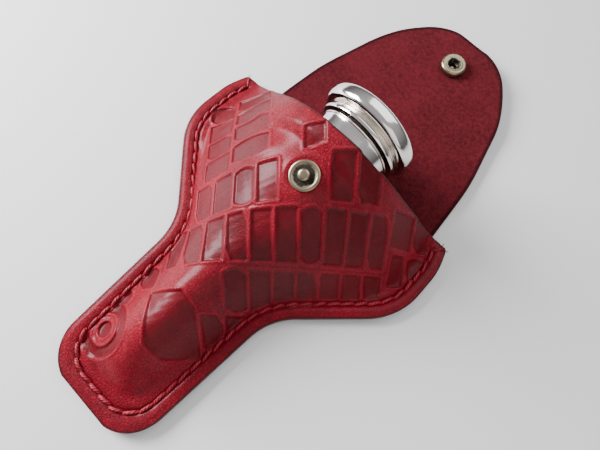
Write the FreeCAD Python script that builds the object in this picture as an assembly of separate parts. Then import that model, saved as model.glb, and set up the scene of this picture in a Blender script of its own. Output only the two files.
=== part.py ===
"""Moulded leather pouch with a snap flap, and the brass mouthpiece that it holds.

Units are millimetres. The origin is the middle of the pouch's tail edge, on its flat underside.
+Y runs from the tail to the mouth and on along the open flap, +X is to the right, +Z is up.
The flap lies open. It bends up at the mouth, bends again over the bulge, and snaps to the front.
"""
import FreeCAD, Part
import math
import os

V = FreeCAD.Vector
X_AXIS, Y_AXIS, Z_AXIS = V(1, 0, 0), V(0, 1, 0), V(0, 0, 1)

# Leather
leather = 1.8                # thickness of both layers
skin_gap = 0.02              # between the two layers at the seam

# Pouch outline, half widths and places along Y
tail_half = 21.2
tail_radius = 14.0
waist_half = 24.4
waist_y = 59.5
waist_radius = 24.0
lobe_half = 56.6
lobe_y = 91.5
lobe_radius = 26.0
shoulder_y = 114.0
shoulder_radius = 30.0
mouth_inset = 3.2            # the mouth is narrower than the lobes, by this much on each side
mouth_half = lobe_half - mouth_inset
mouth_y = 123.2
mouth_corner_radius = 2.5
mouth_lean = math.radians(19.0)       # the mouth's edge leans back towards the tail

# Flap, measured along the leather from the fold
fold_y = 124.2
flap_x = 4.0                 # the flap sits a little right of the middle
flap_root_half = 42.6
flap_mid_half = 40.2
flap_mid_at = 27.0
flap_mid_radius = 50.0
flap_end_half = 31.5
flap_end_at = 62.0
flap_end_radius = 30.0
flap_tip_half = 15.0
flap_tip_radius = 13.0
snap_at = 20.0               # from the second bend to the snap
flap_beyond_snap = 16.4
snap_shut_gap = 0.05         # between the socket's rim and the stud's ring, shut
bend_gap = 0.15              # half of the cut between bodies at a bend
root_tilt = math.radians(1.5)         # the open flap rises a little
tip_tilt = math.radians(4.0)

# Bulge of the front: place along Y, height of the outer face at the crest, above the seam
bulge_crest = ((6.0, 0.0), (16.0, 7.0), (30.0, 14.8), (52.0, 18.4), (66.0, 21.2), (78.0, 26.7),
               (94.0, 33.2), (101.4, 35.3), (105.2, 39.1), (111.0, 40.3), (130.0, 40.5))
bulge_shift = 4.0            # the crest runs to the right, by this much at the mouth
bulge_margin = 6.6           # flat border outside the bulge
bulge_power = 1.6            # higher is more pointed
bulge_wall = 1.9             # how much narrower the inner bulge is
grid_step = 3.0

# Seam
seam_inset = 5.0             # from the outline to the stitch line
stitch_pitch = 4.8
stitch_length = 3.6
thread_radius = 0.45
groove_half = 0.6
groove_depth = 0.95
seam_end = 4.0               # the stitch line stops this far short of the mouth
tail_end_length = 3.2

# Snap, size 20
snap_x = 4.5                 # the snaps sit right of the middle, as the flap does
stud_y = 94.4
stud_radius = 4.9
stud_flange = 0.75
ball_radius = 1.9
ball_height = 2.4
seat_depth = 0.55
post_flange_radius = 4.1
post_flange = 0.5
post_drop = 0.78             # below the crest of the inner face
barrel_radius = 1.5
socket_radius = 5.4
socket_height = 2.9
socket_bore = 2.25
socket_cavity_radius = 3.6
socket_cavity = 1.3
spring_wire = 0.25
spring_offset = 2.6
cap_radius = 6.0
cap_height = 1.4
snap_fit = 0.05

# Mouthpiece
piece_x = 4.8                # middle of the rim
piece_turn = math.radians(2.6)        # its shank points back to the middle of the tail
rim_radius = 19.1
piece_length = 81.0
piece_tilt = math.radians(9.0)
piece_travel = 16.5          # how far it is pulled out here
piece_face_y = 131.0         # middle of the rim's outer face, pulled out
floor_gap = 0.3              # between the rim and the leather, pushed home
cup_mouth_radius = 12.6
bowl_depth = 21.0
throat_radius = 3.2
backbore_radius = 4.6
shank_tip_radius = 5.7
shank_radius = 6.3
cup_radius = 14.0


def pchip(stations, at):
    """Smooth value through (place, value) stations, without overshoot."""
    xs = [s[0] for s in stations]
    ys = [s[1] for s in stations]
    if at <= xs[0]:
        return ys[0]
    if at >= xs[-1]:
        return ys[-1]
    slopes = [(ys[i + 1] - ys[i]) / (xs[i + 1] - xs[i]) for i in range(len(xs) - 1)]
    tangents = [0.0]
    for left, right in zip(slopes, slopes[1:]):
        tangents.append(2 * left * right / (left + right) if left * right > 0 else 0.0)
    tangents.append(slopes[-1])
    i = max(k for k in range(len(xs) - 1) if xs[k] <= at)
    width = xs[i + 1] - xs[i]
    t = (at - xs[i]) / width
    return (ys[i] * (2 * t**3 - 3 * t**2 + 1) + ys[i + 1] * (3 * t**2 - 2 * t**3)
            + width * (tangents[i] * (t**3 - 2 * t**2 + t) + tangents[i + 1] * (t**3 - t**2)))


def rounded_wire(corners, closed=True):
    """Lines through (x, y, radius) corners, each corner rounded by a tangent arc."""
    count = len(corners)
    points = [V(c[0], c[1], 0) for c in corners]
    edges = []
    first = last = None
    for i in range(count):
        here, radius = points[i], corners[i][2]
        if radius == 0:
            start = end = here
            arc = None
        else:
            to_before = (points[i - 1] - here).normalize()
            to_after = (points[(i + 1) % count] - here).normalize()
            half = to_before.getAngle(to_after) / 2
            reach = radius / math.tan(half)
            start, end = here + to_before * reach, here + to_after * reach
            inward = (to_before + to_after).normalize()
            middle = here + inward * (radius / math.sin(half) - radius)
            arc = Part.Arc(start, middle, end).toShape()
        if last is not None and (start - last).Length > 1e-6:
            edges.append(Part.LineSegment(last, start).toShape())
        if arc is not None:
            edges.append(arc)
        if first is None:
            first = start
        last = end
    if closed and (first - last).Length > 1e-6:
        edges.append(Part.LineSegment(last, first).toShape())
    return Part.Wire(edges)


def mirrored(right_half):
    """Corners of a whole outline from its right half, which runs from tail to mouth."""
    left_half = [(-x, y, r) for x, y, r in reversed(right_half) if x > 0]
    return right_half + left_half


def pouch_corners(inset=0.0):
    """Outline of the pouch as corners, moved inwards by the inset."""
    return mirrored([
        (tail_half - inset, inset, tail_radius - 0.6 * inset),
        (waist_half - inset, waist_y + 0.42 * inset, waist_radius + inset),
        (lobe_half - inset, lobe_y + 0.42 * inset, lobe_radius - inset),
        (lobe_half - 0.2 - inset, shoulder_y, shoulder_radius - inset),
        (mouth_half - inset, mouth_y, mouth_corner_radius if inset == 0 else 0),
    ])


def half_width(y):
    """Half width of the pouch's outline at a place along Y, rounded off a little."""
    stations = ((0.0, tail_half - 8.0), (8.0, tail_half - 0.8), (20.0, tail_half + 0.6),
                (46.0, waist_half), (waist_y + 2.0, waist_half + 5.0), (75.0, waist_half + 16.5),
                (lobe_y - 4.0, lobe_half - 7.0), (lobe_y + 10.0, lobe_half - 1.0),
                (mouth_y + 10.0, lobe_half - 1.0))
    return pchip(stations, y)


def bulge(x, y, wall):
    """Height of the bulge over the seam at (x, y). The inner face is narrower by the wall."""
    crest = bulge_shift * y / mouth_y
    width = half_width(y) - bulge_margin - wall
    u = min(1.0, (x - crest) / (width - crest) if x > crest else (crest - x) / (width + crest))
    return pchip(bulge_crest, y) * (1.0 - u * u) ** bulge_power


def clamped_mults(count):
    """Knot multiplicities of a clamped cubic with this many poles."""
    return [4] + [1] * (count - 4) + [4]


def clamped_knots(count):
    """Evenly spaced knots of a clamped cubic with this many poles."""
    return [float(k) for k in range(count - 2)]


def bulge_solid(base, wall):
    """Everything under one face of the bulged front, far down."""
    count_x = 2 * int((lobe_half + 8.0) / grid_step) + 1
    count_y = int((mouth_y + 14.0) / grid_step) + 1
    rows = []
    for j in range(count_y + 1):
        y = -4.0 + j * grid_step
        row = []
        for i in range(count_x):
            x = (i - count_x // 2) * grid_step
            row.append(V(x, y, base + bulge(x, y, wall)))
        rows.append(row)
    surface = Part.BSplineSurface()
    surface.buildFromPolesMultsKnots(rows, clamped_mults(len(rows)), clamped_mults(len(rows[0])),
                                     clamped_knots(len(rows)), clamped_knots(len(rows[0])),
                                     False, False, 3, 3)
    return surface.toShape().extrude(V(0, 0, -80))


def prism(wire, low, high):
    """Upright solid on a closed wire."""
    face = Part.Face(wire)
    face.translate(V(0, 0, low))
    return face.extrude(V(0, 0, high - low))


def cylinder(radius, low, high, centre=V(0, 0, 0)):
    """Upright cylinder between two heights."""
    return Part.makeCylinder(radius, high - low, centre + V(0, 0, low), Z_AXIS)


def turned(profile):
    """Solid of revolution about Z from (radius, height) points."""
    points = [V(r, 0, z) for r, z in profile]
    wire = Part.makePolygon(points + points[:1])
    return Part.Face(wire).revolve(V(0, 0, 0), Z_AXIS, 360)


def behind_mouth():
    """Half space on the tail side of the leaning mouth plane."""
    box = Part.makeBox(200, 200, 200, V(-100, -200, -60))
    box.rotate(V(0, 0, 0), X_AXIS, math.degrees(mouth_lean))
    box.translate(V(0, mouth_y, 2 * leather))
    return box


def stud_frame():
    """Place of the stud: on the crest of the outer face, tipped back with it."""
    step = 0.5
    rise = bulge(snap_x, stud_y + step, 0) - bulge(snap_x, stud_y - step, 0)
    slope = math.atan2(rise, 2 * step)
    spot = V(snap_x, stud_y, 2 * leather + bulge(snap_x, stud_y, 0) - seat_depth)
    return FreeCAD.Placement(spot, FreeCAD.Rotation(X_AXIS, math.degrees(slope)))


def placed(shape, placement):
    """Copy of a shape, moved by a placement."""
    copy = shape.copy()
    copy.transformShape(placement.toMatrix(), True)
    return copy


def stitch_path():
    """Stitch line round the pouch from the right mouth corner to the left one."""
    wire = rounded_wire(pouch_corners(seam_inset))
    limit = mouth_y - seam_end
    keep = Part.makeBox(300, limit + 50, 2, V(-150, -50, -1))
    return Part.Wire(Part.__sortEdges__(wire.common(keep).Edges))


def groove_ring():
    """Flat ring along the stitch line, which the back's stitches lie in."""
    outer = Part.Face(rounded_wire(pouch_corners(seam_inset - groove_half)))
    inner = Part.Face(rounded_wire(pouch_corners(seam_inset + groove_half)))
    ring = outer.cut(inner).extrude(V(0, 0, groove_depth))
    keep = Part.makeBox(300, mouth_y - seam_end + 51.5, 10, V(-150, -50, -5))
    return ring.common(keep)


def front_panel():
    """Bulged front with a flat stitched border, open at the mouth, bored for the stud."""
    sheet = bulge_solid(2 * leather, 0.0).cut(bulge_solid(leather + skin_gap, bulge_wall))
    panel = sheet.common(prism(rounded_wire(pouch_corners()), -1, 80)).common(behind_mouth())
    seat = placed(cylinder(stud_radius + 0.15, 0, 12), stud_frame())
    hole = placed(cylinder(barrel_radius + snap_fit, -6, 12), stud_frame())
    return panel.cut(seat).cut(hole)


def back_panel():
    """Flat back, cut square at the fold, grooved underneath for the stitches."""
    corners = pouch_corners()
    left, right_end = flap_x - flap_root_half, flap_x + flap_root_half
    notch = [(right_end, mouth_y, 0), (right_end, fold_y, 0), (left, fold_y, 0), (left, mouth_y, 0)]
    right = len(corners) // 2
    wire = rounded_wire(corners[:right] + notch + corners[right:])
    return prism(wire, 0, leather).cut(groove_ring())


def stitch(point, along, height):
    """One stitch lying along the seam: a short round bar with rounded ends."""
    start = V(point.x, point.y, height) - along * (stitch_length / 2 - thread_radius)
    bar = Part.makeCylinder(thread_radius, stitch_length - 2 * thread_radius, start, along)
    end = start + along * (stitch_length - 2 * thread_radius)
    return bar.fuse([Part.makeSphere(thread_radius, start), Part.makeSphere(thread_radius, end)])


def seam_threads():
    """Both stitch runs of each side: front and back stitches, joined by legs through the leather."""
    path = stitch_path()
    count = int(path.Length / stitch_pitch)
    places = path.discretize(Number=count + 1)
    sides = {"right": [], "left": []}
    front_height = 2 * leather + 0.25
    back_height = groove_depth - thread_radius + 0.02
    for before, after in zip(places, places[1:]):
        middle = (before + after) * 0.5
        along = (after - before).normalize()
        leg_at = middle + along * (stitch_length / 2 - thread_radius)
        leg = cylinder(thread_radius * 0.8, back_height, front_height, V(leg_at.x, leg_at.y, 0))
        thread = stitch(middle, along, front_height).fuse([stitch(middle, along, back_height), leg])
        sides["right" if middle.x > 0 else "left"].append(thread.removeSplitter())
    return Part.makeCompound(sides["right"]), Part.makeCompound(sides["left"])


def thread_ends():
    """Cut ends of the thread, lying on the border at both mouth corners."""
    path = stitch_path()
    ends = []
    for corner in (path.discretize(Number=2)[0], path.discretize(Number=2)[-1]):
        side = 1 if corner.x > 0 else -1
        along = V(side * 0.62, 0.79, 0).normalize()
        start = V(corner.x, corner.y, 2 * leather + thread_radius + 0.05) + along * 1.6
        ends.append(Part.makeCylinder(thread_radius * 0.8, tail_end_length, start, along))
    return Part.makeCompound(ends)


def snap_stud():
    """Male half of the snap: rolled ring, sunk web and the ball."""
    profile = [(0, 0.3), (3.3, 0.3), (3.6, 0), (stud_radius - 0.3, 0), (stud_radius, 0.3),
               (stud_radius - 0.1, stud_flange), (stud_radius - 0.7, stud_flange + 0.12),
               (stud_radius - 1.3, stud_flange - 0.1), (stud_radius - 1.5, 0.55),
               (ball_radius + 0.2, 0.55), (ball_radius - 0.35, 1.0), (ball_radius, 1.6),
               (ball_radius - 0.25, ball_height - 0.25), (ball_radius - 0.8, ball_height),
               (0, ball_height)]
    return placed(turned(profile), stud_frame())


def snap_stud_post():
    """Eyelet from the inside: a flange and a barrel up into the stud."""
    low = -(leather - seat_depth) - post_drop
    post = cylinder(post_flange_radius, low - post_flange, low).fuse(cylinder(barrel_radius, low, 0.3))
    return placed(post.removeSplitter(), stud_frame())


def second_bend_shut():
    """Where the second bend comes when the socket sits on the stud."""
    stack = stud_flange + 0.12 + snap_shut_gap + socket_height
    return stud_frame().multVec(V(0, snap_at, stack))


def roll_at():
    """Length of leather from the fold to the second bend, which lets the flap reach the stud."""
    bend = second_bend_shut()
    return math.hypot(bend.y - fold_y, bend.z - leather)


def flap_length():
    """Length of the flap from the fold to its end."""
    return roll_at() + snap_at + flap_beyond_snap


def shut_angles():
    """Degrees that the fold and the second bend turn from open to shut."""
    bend = second_bend_shut()
    root = math.atan2(bend.z - leather, bend.y - fold_y)
    tip = math.pi + stud_frame().Rotation.Angle
    return math.degrees(root - root_tilt), math.degrees(tip - root - tip_tilt + root_tilt)


def flap_corners():
    """Outline of the flap laid flat, along Y from the fold."""
    corners = mirrored([
        (flap_root_half, 0, 0),
        (flap_mid_half, flap_mid_at, flap_mid_radius),
        (flap_end_half, flap_end_at, flap_end_radius),
        (flap_tip_half, flap_length(), flap_tip_radius),
    ])
    return [(x + flap_x, y, r) for x, y, r in corners]


def flap_slab(start, end):
    """Piece of the flat flap between two distances from the fold; its inner face is at Z = 0."""
    whole = prism(rounded_wire(flap_corners()), -leather, 0)
    return whole.common(Part.makeBox(200, end - start, 20, V(-100, start, -10)))


def root_frame():
    """Where the flap's first part lies when open: it turns about the inner edge of the fold."""
    return FreeCAD.Placement(V(0, fold_y, leather), FreeCAD.Rotation(X_AXIS, math.degrees(root_tilt)))


def tip_frame():
    """Where the flap's tip lies when open, from the second bend."""
    start = root_frame().multVec(V(0, roll_at(), 0))
    return FreeCAD.Placement(start, FreeCAD.Rotation(X_AXIS, math.degrees(tip_tilt)))


def snap_at_tip():
    """The snap's place on the flap's tip, measured from the second bend."""
    return V(snap_x, snap_at, 0)


def flap_root():
    """Flap from the fold to the second bend."""
    return placed(flap_slab(bend_gap, roll_at() - bend_gap), root_frame())


def flap_tip():
    """Flap from the second bend to the rounded end, bored for the cap's post."""
    slab = flap_slab(roll_at() + bend_gap, flap_length() + 1)
    slab.translate(V(0, -roll_at(), 0))
    hole = cylinder(barrel_radius + snap_fit, -5, 5, snap_at_tip())
    return placed(slab.cut(hole), tip_frame())


def snap_cap():
    """Domed cap on the flap's outer face, with the post that goes through to the socket."""
    dome = [(0, -leather - cap_height), (2.4, -leather - cap_height),
            (4.4, -leather - cap_height + 0.3), (cap_radius - 0.3, -leather - 0.65),
            (cap_radius, -leather - 0.35), (cap_radius - 0.3, -leather), (barrel_radius, -leather),
            (barrel_radius, 0.35), (0, 0.35)]
    cap = turned(dome)
    cap.translate(snap_at_tip())
    return placed(cap, tip_frame())


def snap_socket():
    """Female half of the snap: a rolled ring with a bore that widens into the spring's room."""
    top, radius = socket_height, socket_radius
    room = top - 0.7
    profile = [(barrel_radius + snap_fit, 0), (radius - 0.5, 0), (radius, 0.5), (radius, top - 1.1),
               (radius - 0.35, top - 0.35), (radius - 1.0, top), (radius - 1.8, top - 0.15),
               (socket_bore + 0.3, top - 0.3), (socket_bore, top - 0.5), (socket_bore, room),
               (socket_cavity_radius, room), (socket_cavity_radius, room - socket_cavity),
               (barrel_radius + snap_fit, room - socket_cavity)]
    ring = turned(profile)
    ring.translate(snap_at_tip())
    return placed(ring, tip_frame())


def snap_socket_spring():
    """Two straight spring wires across the socket's room, one each side of the ball."""
    height = socket_height - 0.7 - socket_cavity / 2
    half = math.sqrt((socket_cavity_radius - 0.1)**2 - (spring_offset + spring_wire)**2)
    wires = []
    for side in (-1, 1):
        start = snap_at_tip() + V(side * spring_offset, -half, height)
        wires.append(Part.makeCylinder(spring_wire, 2 * half, start, Y_AXIS))
    return placed(Part.makeCompound(wires), tip_frame())


def mouthpiece():
    """One turned piece: rim, grooved collar, cup, neck and shank, bored right through."""
    r, full = rim_radius, piece_length
    outside = [(0, cup_mouth_radius + 1.6), (0, cup_mouth_radius + 3.2), (0.9, r - 2.0), (2.4, r - 0.5),
               (4.0, r), (5.6, r - 0.5), (6.6, r - 1.7), (7.0, r - 3.6), (8.0, r - 3.9), (8.4, r - 2.9),
               (9.2, r - 2.6), (10.0, r - 2.9), (10.4, r - 4.0), (11.2, cup_radius + 0.9),
               (12.2, cup_radius + 0.5), (20.0, cup_radius - 0.2), (26.0, cup_radius - 1.6),
               (31.0, cup_radius - 3.6), (36.0, cup_radius - 5.9), (41.0, shank_radius + 0.6),
               (46.0, shank_radius), (full, shank_tip_radius)]
    inside = [(full, backbore_radius), (bowl_depth + 6.0, throat_radius), (bowl_depth, throat_radius),
              (bowl_depth - 2.0, 5.0), (bowl_depth * 0.72, 8.4), (bowl_depth * 0.4, 11.0),
              (bowl_depth * 0.12, cup_mouth_radius - 0.2), (0.7, cup_mouth_radius + 0.3)]
    points = [V(radius, 0, -depth) for depth, radius in outside + inside]
    body = Part.Face(Part.makePolygon(points + points[:1])).revolve(V(0, 0, 0), Z_AXIS, 360)
    body.rotate(V(0, 0, 0), X_AXIS, -90 + math.degrees(piece_tilt))
    body.rotate(V(0, 0, 0), Z_AXIS, -math.degrees(piece_turn))
    body.translate(piece_face())
    return body


def piece_face():
    """Middle of the rim's outer face with the mouthpiece pulled out."""
    home = leather + floor_gap + rim_radius * math.cos(piece_tilt) + 4.0 * math.sin(piece_tilt)
    return V(piece_x, piece_face_y, home + piece_travel * math.sin(piece_tilt))


def main():
    right_thread, left_thread = seam_threads()
    nodes = {
        "front_panel": front_panel(),
        "back_panel": back_panel(),
        "seam_thread_right": right_thread,
        "seam_thread_left": left_thread,
        "thread_ends": thread_ends(),
        "snap_stud": snap_stud(),
        "snap_stud_post": snap_stud_post(),
        "flap_root": flap_root(),
        "flap_tip": flap_tip(),
        "snap_cap": snap_cap(),
        "snap_socket": snap_socket(),
        "snap_socket_spring": snap_socket_spring(),
        "mouthpiece": mouthpiece(),
    }
    os.makedirs("parts", exist_ok=True)
    for name, shape in nodes.items():
        shape.exportStep("parts/" + name + ".step")
        print(name, "valid" if shape.isValid() else "INVALID", len(shape.Solids),
              round(shape.Volume, 1), "low", round(shape.BoundBox.ZMin, 2))
    print("shut angles", [round(a, 3) for a in shut_angles()])
    for name, frame in (("fold", root_frame()), ("roll", tip_frame()), ("stud", stud_frame())):
        print(name, "at", [round(c, 3) for c in frame.Base], "turned",
              round(math.degrees(frame.Rotation.Angle), 2))


main()
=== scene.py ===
"""Looks of a moulded leather pouch with a snap flap, and of the brass mouthpiece that it holds.

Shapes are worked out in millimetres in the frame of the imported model, then turned into metres.
"""

import logging
import math
from collections.abc import Callable
from dataclasses import dataclass, field
from enum import Enum

import bpy
import numpy as np
from mathutils import Matrix, Vector


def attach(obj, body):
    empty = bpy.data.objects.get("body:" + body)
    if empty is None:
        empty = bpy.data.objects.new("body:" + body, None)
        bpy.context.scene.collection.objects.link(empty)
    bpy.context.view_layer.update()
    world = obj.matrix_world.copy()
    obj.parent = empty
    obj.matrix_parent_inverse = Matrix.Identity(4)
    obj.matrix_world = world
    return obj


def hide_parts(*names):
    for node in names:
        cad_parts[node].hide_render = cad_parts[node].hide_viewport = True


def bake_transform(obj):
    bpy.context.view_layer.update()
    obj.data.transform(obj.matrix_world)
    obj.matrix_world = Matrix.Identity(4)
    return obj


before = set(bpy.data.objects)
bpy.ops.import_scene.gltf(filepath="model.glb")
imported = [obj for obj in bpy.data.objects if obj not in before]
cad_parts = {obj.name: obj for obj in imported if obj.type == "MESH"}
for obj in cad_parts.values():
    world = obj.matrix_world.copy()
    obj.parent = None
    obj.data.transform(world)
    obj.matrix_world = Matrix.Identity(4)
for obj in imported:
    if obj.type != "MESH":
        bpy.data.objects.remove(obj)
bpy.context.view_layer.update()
log = logging.getLogger("pouch")
MM = 0.001


# ---------------------------------------------------------------- numbers and meshes

def pchip(stations: tuple, at: np.ndarray) -> np.ndarray:
    """Smooth curve through stations, without overshoot.

    Args:
        stations: (place, value) pairs in rising order.
        at: places to read.

    Returns:
        The values at those places.
    """
    xs = np.array([s[0] for s in stations], float)
    ys = np.array([s[1] for s in stations], float)
    slopes = np.diff(ys) / np.diff(xs)
    product = slopes[:-1] * slopes[1:]
    total = np.where(product > 0, slopes[:-1] + slopes[1:], 1.0)
    inner = np.where(product > 0, 2 * product / total, 0.0)
    tangents = np.concatenate([[0.0], inner, [slopes[-1]]])
    at = np.clip(np.asarray(at, float), xs[0], xs[-1])
    i = np.clip(np.searchsorted(xs, at, side="right") - 1, 0, len(xs) - 2)
    width = xs[i + 1] - xs[i]
    t = (at - xs[i]) / width
    return (ys[i] * (2 * t**3 - 3 * t**2 + 1) + ys[i + 1] * (3 * t**2 - 2 * t**3)
            + width * (tangents[i] * (t**3 - 2 * t**2 + t) + tangents[i + 1] * (t**3 - t**2)))


def smooth(low: float, high: float, value: np.ndarray) -> np.ndarray:
    """Smooth step of value from low to high."""
    t = np.clip((value - low) / (high - low), 0.0, 1.0)
    return t * t * (3 - 2 * t)


def rounded_line(corners: list, step: float = 4.0) -> np.ndarray:
    """Open line through (x, y, radius) corners, each rounded by a tangent arc.

    Args:
        corners: the corners in order; the two end ones have no radius.
        step: degrees between points on an arc.

    Returns:
        The line's points.
    """
    points = [np.array(corners[0][:2], float)]
    for before, here, after in zip(corners, corners[1:], corners[2:]):
        spot, radius = np.array(here[:2], float), here[2]
        to_before = np.array(before[:2]) - spot
        to_after = np.array(after[:2]) - spot
        to_before /= np.linalg.norm(to_before)
        to_after /= np.linalg.norm(to_after)
        half = math.acos(np.clip(to_before @ to_after, -1, 1)) / 2
        if radius == 0 or half > math.pi / 2 - 1e-4:
            points.append(spot)
            continue
        inward = (to_before + to_after) / np.linalg.norm(to_before + to_after)
        centre = spot + inward * radius / math.sin(half)
        start = spot + to_before * radius / math.tan(half) - centre
        turn = (math.pi - 2 * half) * (1 if start[0] * to_after[1] - start[1] * to_after[0] > 0 else -1)
        count = max(2, int(abs(math.degrees(turn)) / step))
        for k in range(count + 1):
            c, s = math.cos(turn * k / count), math.sin(turn * k / count)
            points.append(centre + np.array([c * start[0] - s * start[1], s * start[0] + c * start[1]]))
    points.append(np.array(corners[-1][:2], float))
    return np.array(points)


def distance_to_line(x: np.ndarray, y: np.ndarray, line: np.ndarray) -> np.ndarray:
    """Distance in plan from each point to a line of points.

    Args:
        x: places across.
        y: places along.
        line: points of the line.

    Returns:
        One distance per place.
    """
    best = np.full(x.shape, 1e9)
    for a, b in zip(line, line[1:]):
        d = b - a
        t = np.clip(((x - a[0]) * d[0] + (y - a[1]) * d[1]) / max(d @ d, 1e-12), 0, 1)
        best = np.minimum(best, np.hypot(x - a[0] - t * d[0], y - a[1] - t * d[1]))
    return best


class MeshMaker:
    """Collects points and faces in millimetres and turns them into one object."""

    def __init__(self, name: str) -> None:
        """Start an empty mesh with a name."""
        self.name = name
        self.points: list = []
        self.faces: list = []
        self.slots: list = []
        self.marks: dict = {}

    def add_points(self, points: np.ndarray, **marks: np.ndarray) -> int:
        """Add points with their attribute values.

        Args:
            points: rows of x, y, z.
            marks: one value per point for each attribute.

        Returns:
            The index of the first new point.
        """
        start = sum(len(p) for p in self.points)
        self.points.append(np.asarray(points, float))
        for key in set(self.marks) | set(marks):
            known = self.marks.setdefault(key, [np.zeros(start)])
            known.append(np.asarray(marks.get(key, np.zeros(len(points))), float))
        return start

    def add_faces(self, faces: list, slot: int = 0) -> None:
        """Add faces that show one material slot."""
        self.faces.extend(faces)
        self.slots.extend([slot] * len(faces))

    def add_grid(self, grid: np.ndarray, slot: int, flip: bool = False, **marks: np.ndarray) -> np.ndarray:
        """Add a grid of points with its square faces.

        Args:
            grid: rows by columns by 3.
            slot: material slot of the faces.
            flip: turn the faces over.
            marks: rows by columns values of attributes.

        Returns:
            The point numbers, rows by columns.
        """
        rows, cols = grid.shape[:2]
        start = self.add_points(grid.reshape(-1, 3), **{k: v.reshape(-1) for k, v in marks.items()})
        ids = np.arange(start, start + rows * cols).reshape(rows, cols)
        quads = np.stack([ids[:-1, :-1], ids[:-1, 1:], ids[1:, 1:], ids[1:, :-1]], -1).reshape(-1, 4)
        self.add_faces((quads[:, ::-1] if flip else quads).tolist(), slot)
        return ids

    def add_turned(self, profile: list, segments: int, slot: int = 0) -> None:
        """Add a closed solid of revolution about Z from (radius, height) points.

        Args:
            profile: points round the closed outline; a radius of 0 is a pole.
            segments: number of points round the axis.
            slot: material slot of the faces.
        """
        angles = np.linspace(0, 2 * math.pi, segments, endpoint=False)
        rings = []
        for radius, height in profile:
            if radius < 1e-6:
                rings.append(np.array([self.add_points([[0, 0, height]])]))
            else:
                ring = np.stack([radius * np.cos(angles), radius * np.sin(angles),
                                 np.full(segments, height)], 1)
                rings.append(self.add_points(ring) + np.arange(segments))
        closed = len(rings[0]) > 1 and len(rings[-1]) > 1
        pairs = list(zip(rings, rings[1:])) + ([(rings[-1], rings[0])] if closed else [])
        for low, high in pairs:
            for k in range(segments):
                n = (k + 1) % segments
                if len(low) == 1 and len(high) > 1:
                    self.add_faces([[low[0], high[n], high[k]]], slot)
                elif len(high) == 1 and len(low) > 1:
                    self.add_faces([[low[k], low[n], high[0]]], slot)
                elif len(low) > 1:
                    self.add_faces([[low[k], low[n], high[n], high[k]]], slot)

    def make(self, materials: list, place: Matrix = Matrix.Identity(4),
             recalc: bool = False) -> bpy.types.Object:
        """Make the object at the origin, with its place in its mesh.

        Args:
            materials: one for each slot.
            place: where the shape goes, in millimetres.
            recalc: turn every face outwards.

        Returns:
            The new object.
        """
        points = np.concatenate(self.points)
        turn = np.array(place)
        points = points @ turn[:3, :3].T + turn[:3, 3]
        mesh = bpy.data.meshes.new(self.name)
        mesh.from_pydata((points * MM).tolist(), [], [list(map(int, f)) for f in self.faces])
        mesh.polygons.foreach_set("material_index", self.slots)
        mesh.polygons.foreach_set("use_smooth", [True] * len(self.faces))
        for key, values in self.marks.items():
            layer = mesh.attributes.new(key, "FLOAT", "POINT")
            layer.data.foreach_set("value", np.concatenate(values))
        for material in materials:
            mesh.materials.append(material)
        if recalc:
            outwards(mesh)
        mesh.update()
        made = bpy.data.objects.new(self.name, mesh)
        bpy.context.scene.collection.objects.link(made)
        return made


def outwards(mesh: bpy.types.Mesh) -> None:
    """Turn every face of a closed mesh outwards."""
    import bmesh
    work = bmesh.new()
    work.from_mesh(mesh)
    bmesh.ops.recalc_face_normals(work, faces=work.faces)
    work.to_mesh(mesh)
    work.free()


def soften(profile: list, per_span: int = 5) -> list:
    """Rounder version of an open profile, by a Catmull-Rom curve through it.

    Args:
        profile: (radius, height) points.
        per_span: new points for each old one.

    Returns:
        The rounder (radius, height) points.
    """
    p = [np.array(profile[0], float), *[np.array(q, float) for q in profile], np.array(profile[-1], float)]
    out = []
    for a, b, c, d in zip(p, p[1:], p[2:], p[3:]):
        for k in range(per_span):
            t = k / per_span
            out.append(0.5 * ((2 * b) + (c - a) * t + (2 * a - 5 * b + 4 * c - d) * t**2
                              + (3 * b - a - 3 * c + d) * t**3))
    out.append(p[-1])
    return [(max(float(q[0]), 0.0), float(q[1])) for q in out]


# ---------------------------------------------------------------- finishes

def paint(colour: tuple, strength: float = 1.0) -> tuple:
    """Opaque colour, made darker or lighter by a factor."""
    return (*(c * strength for c in colour), 1.0)


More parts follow.
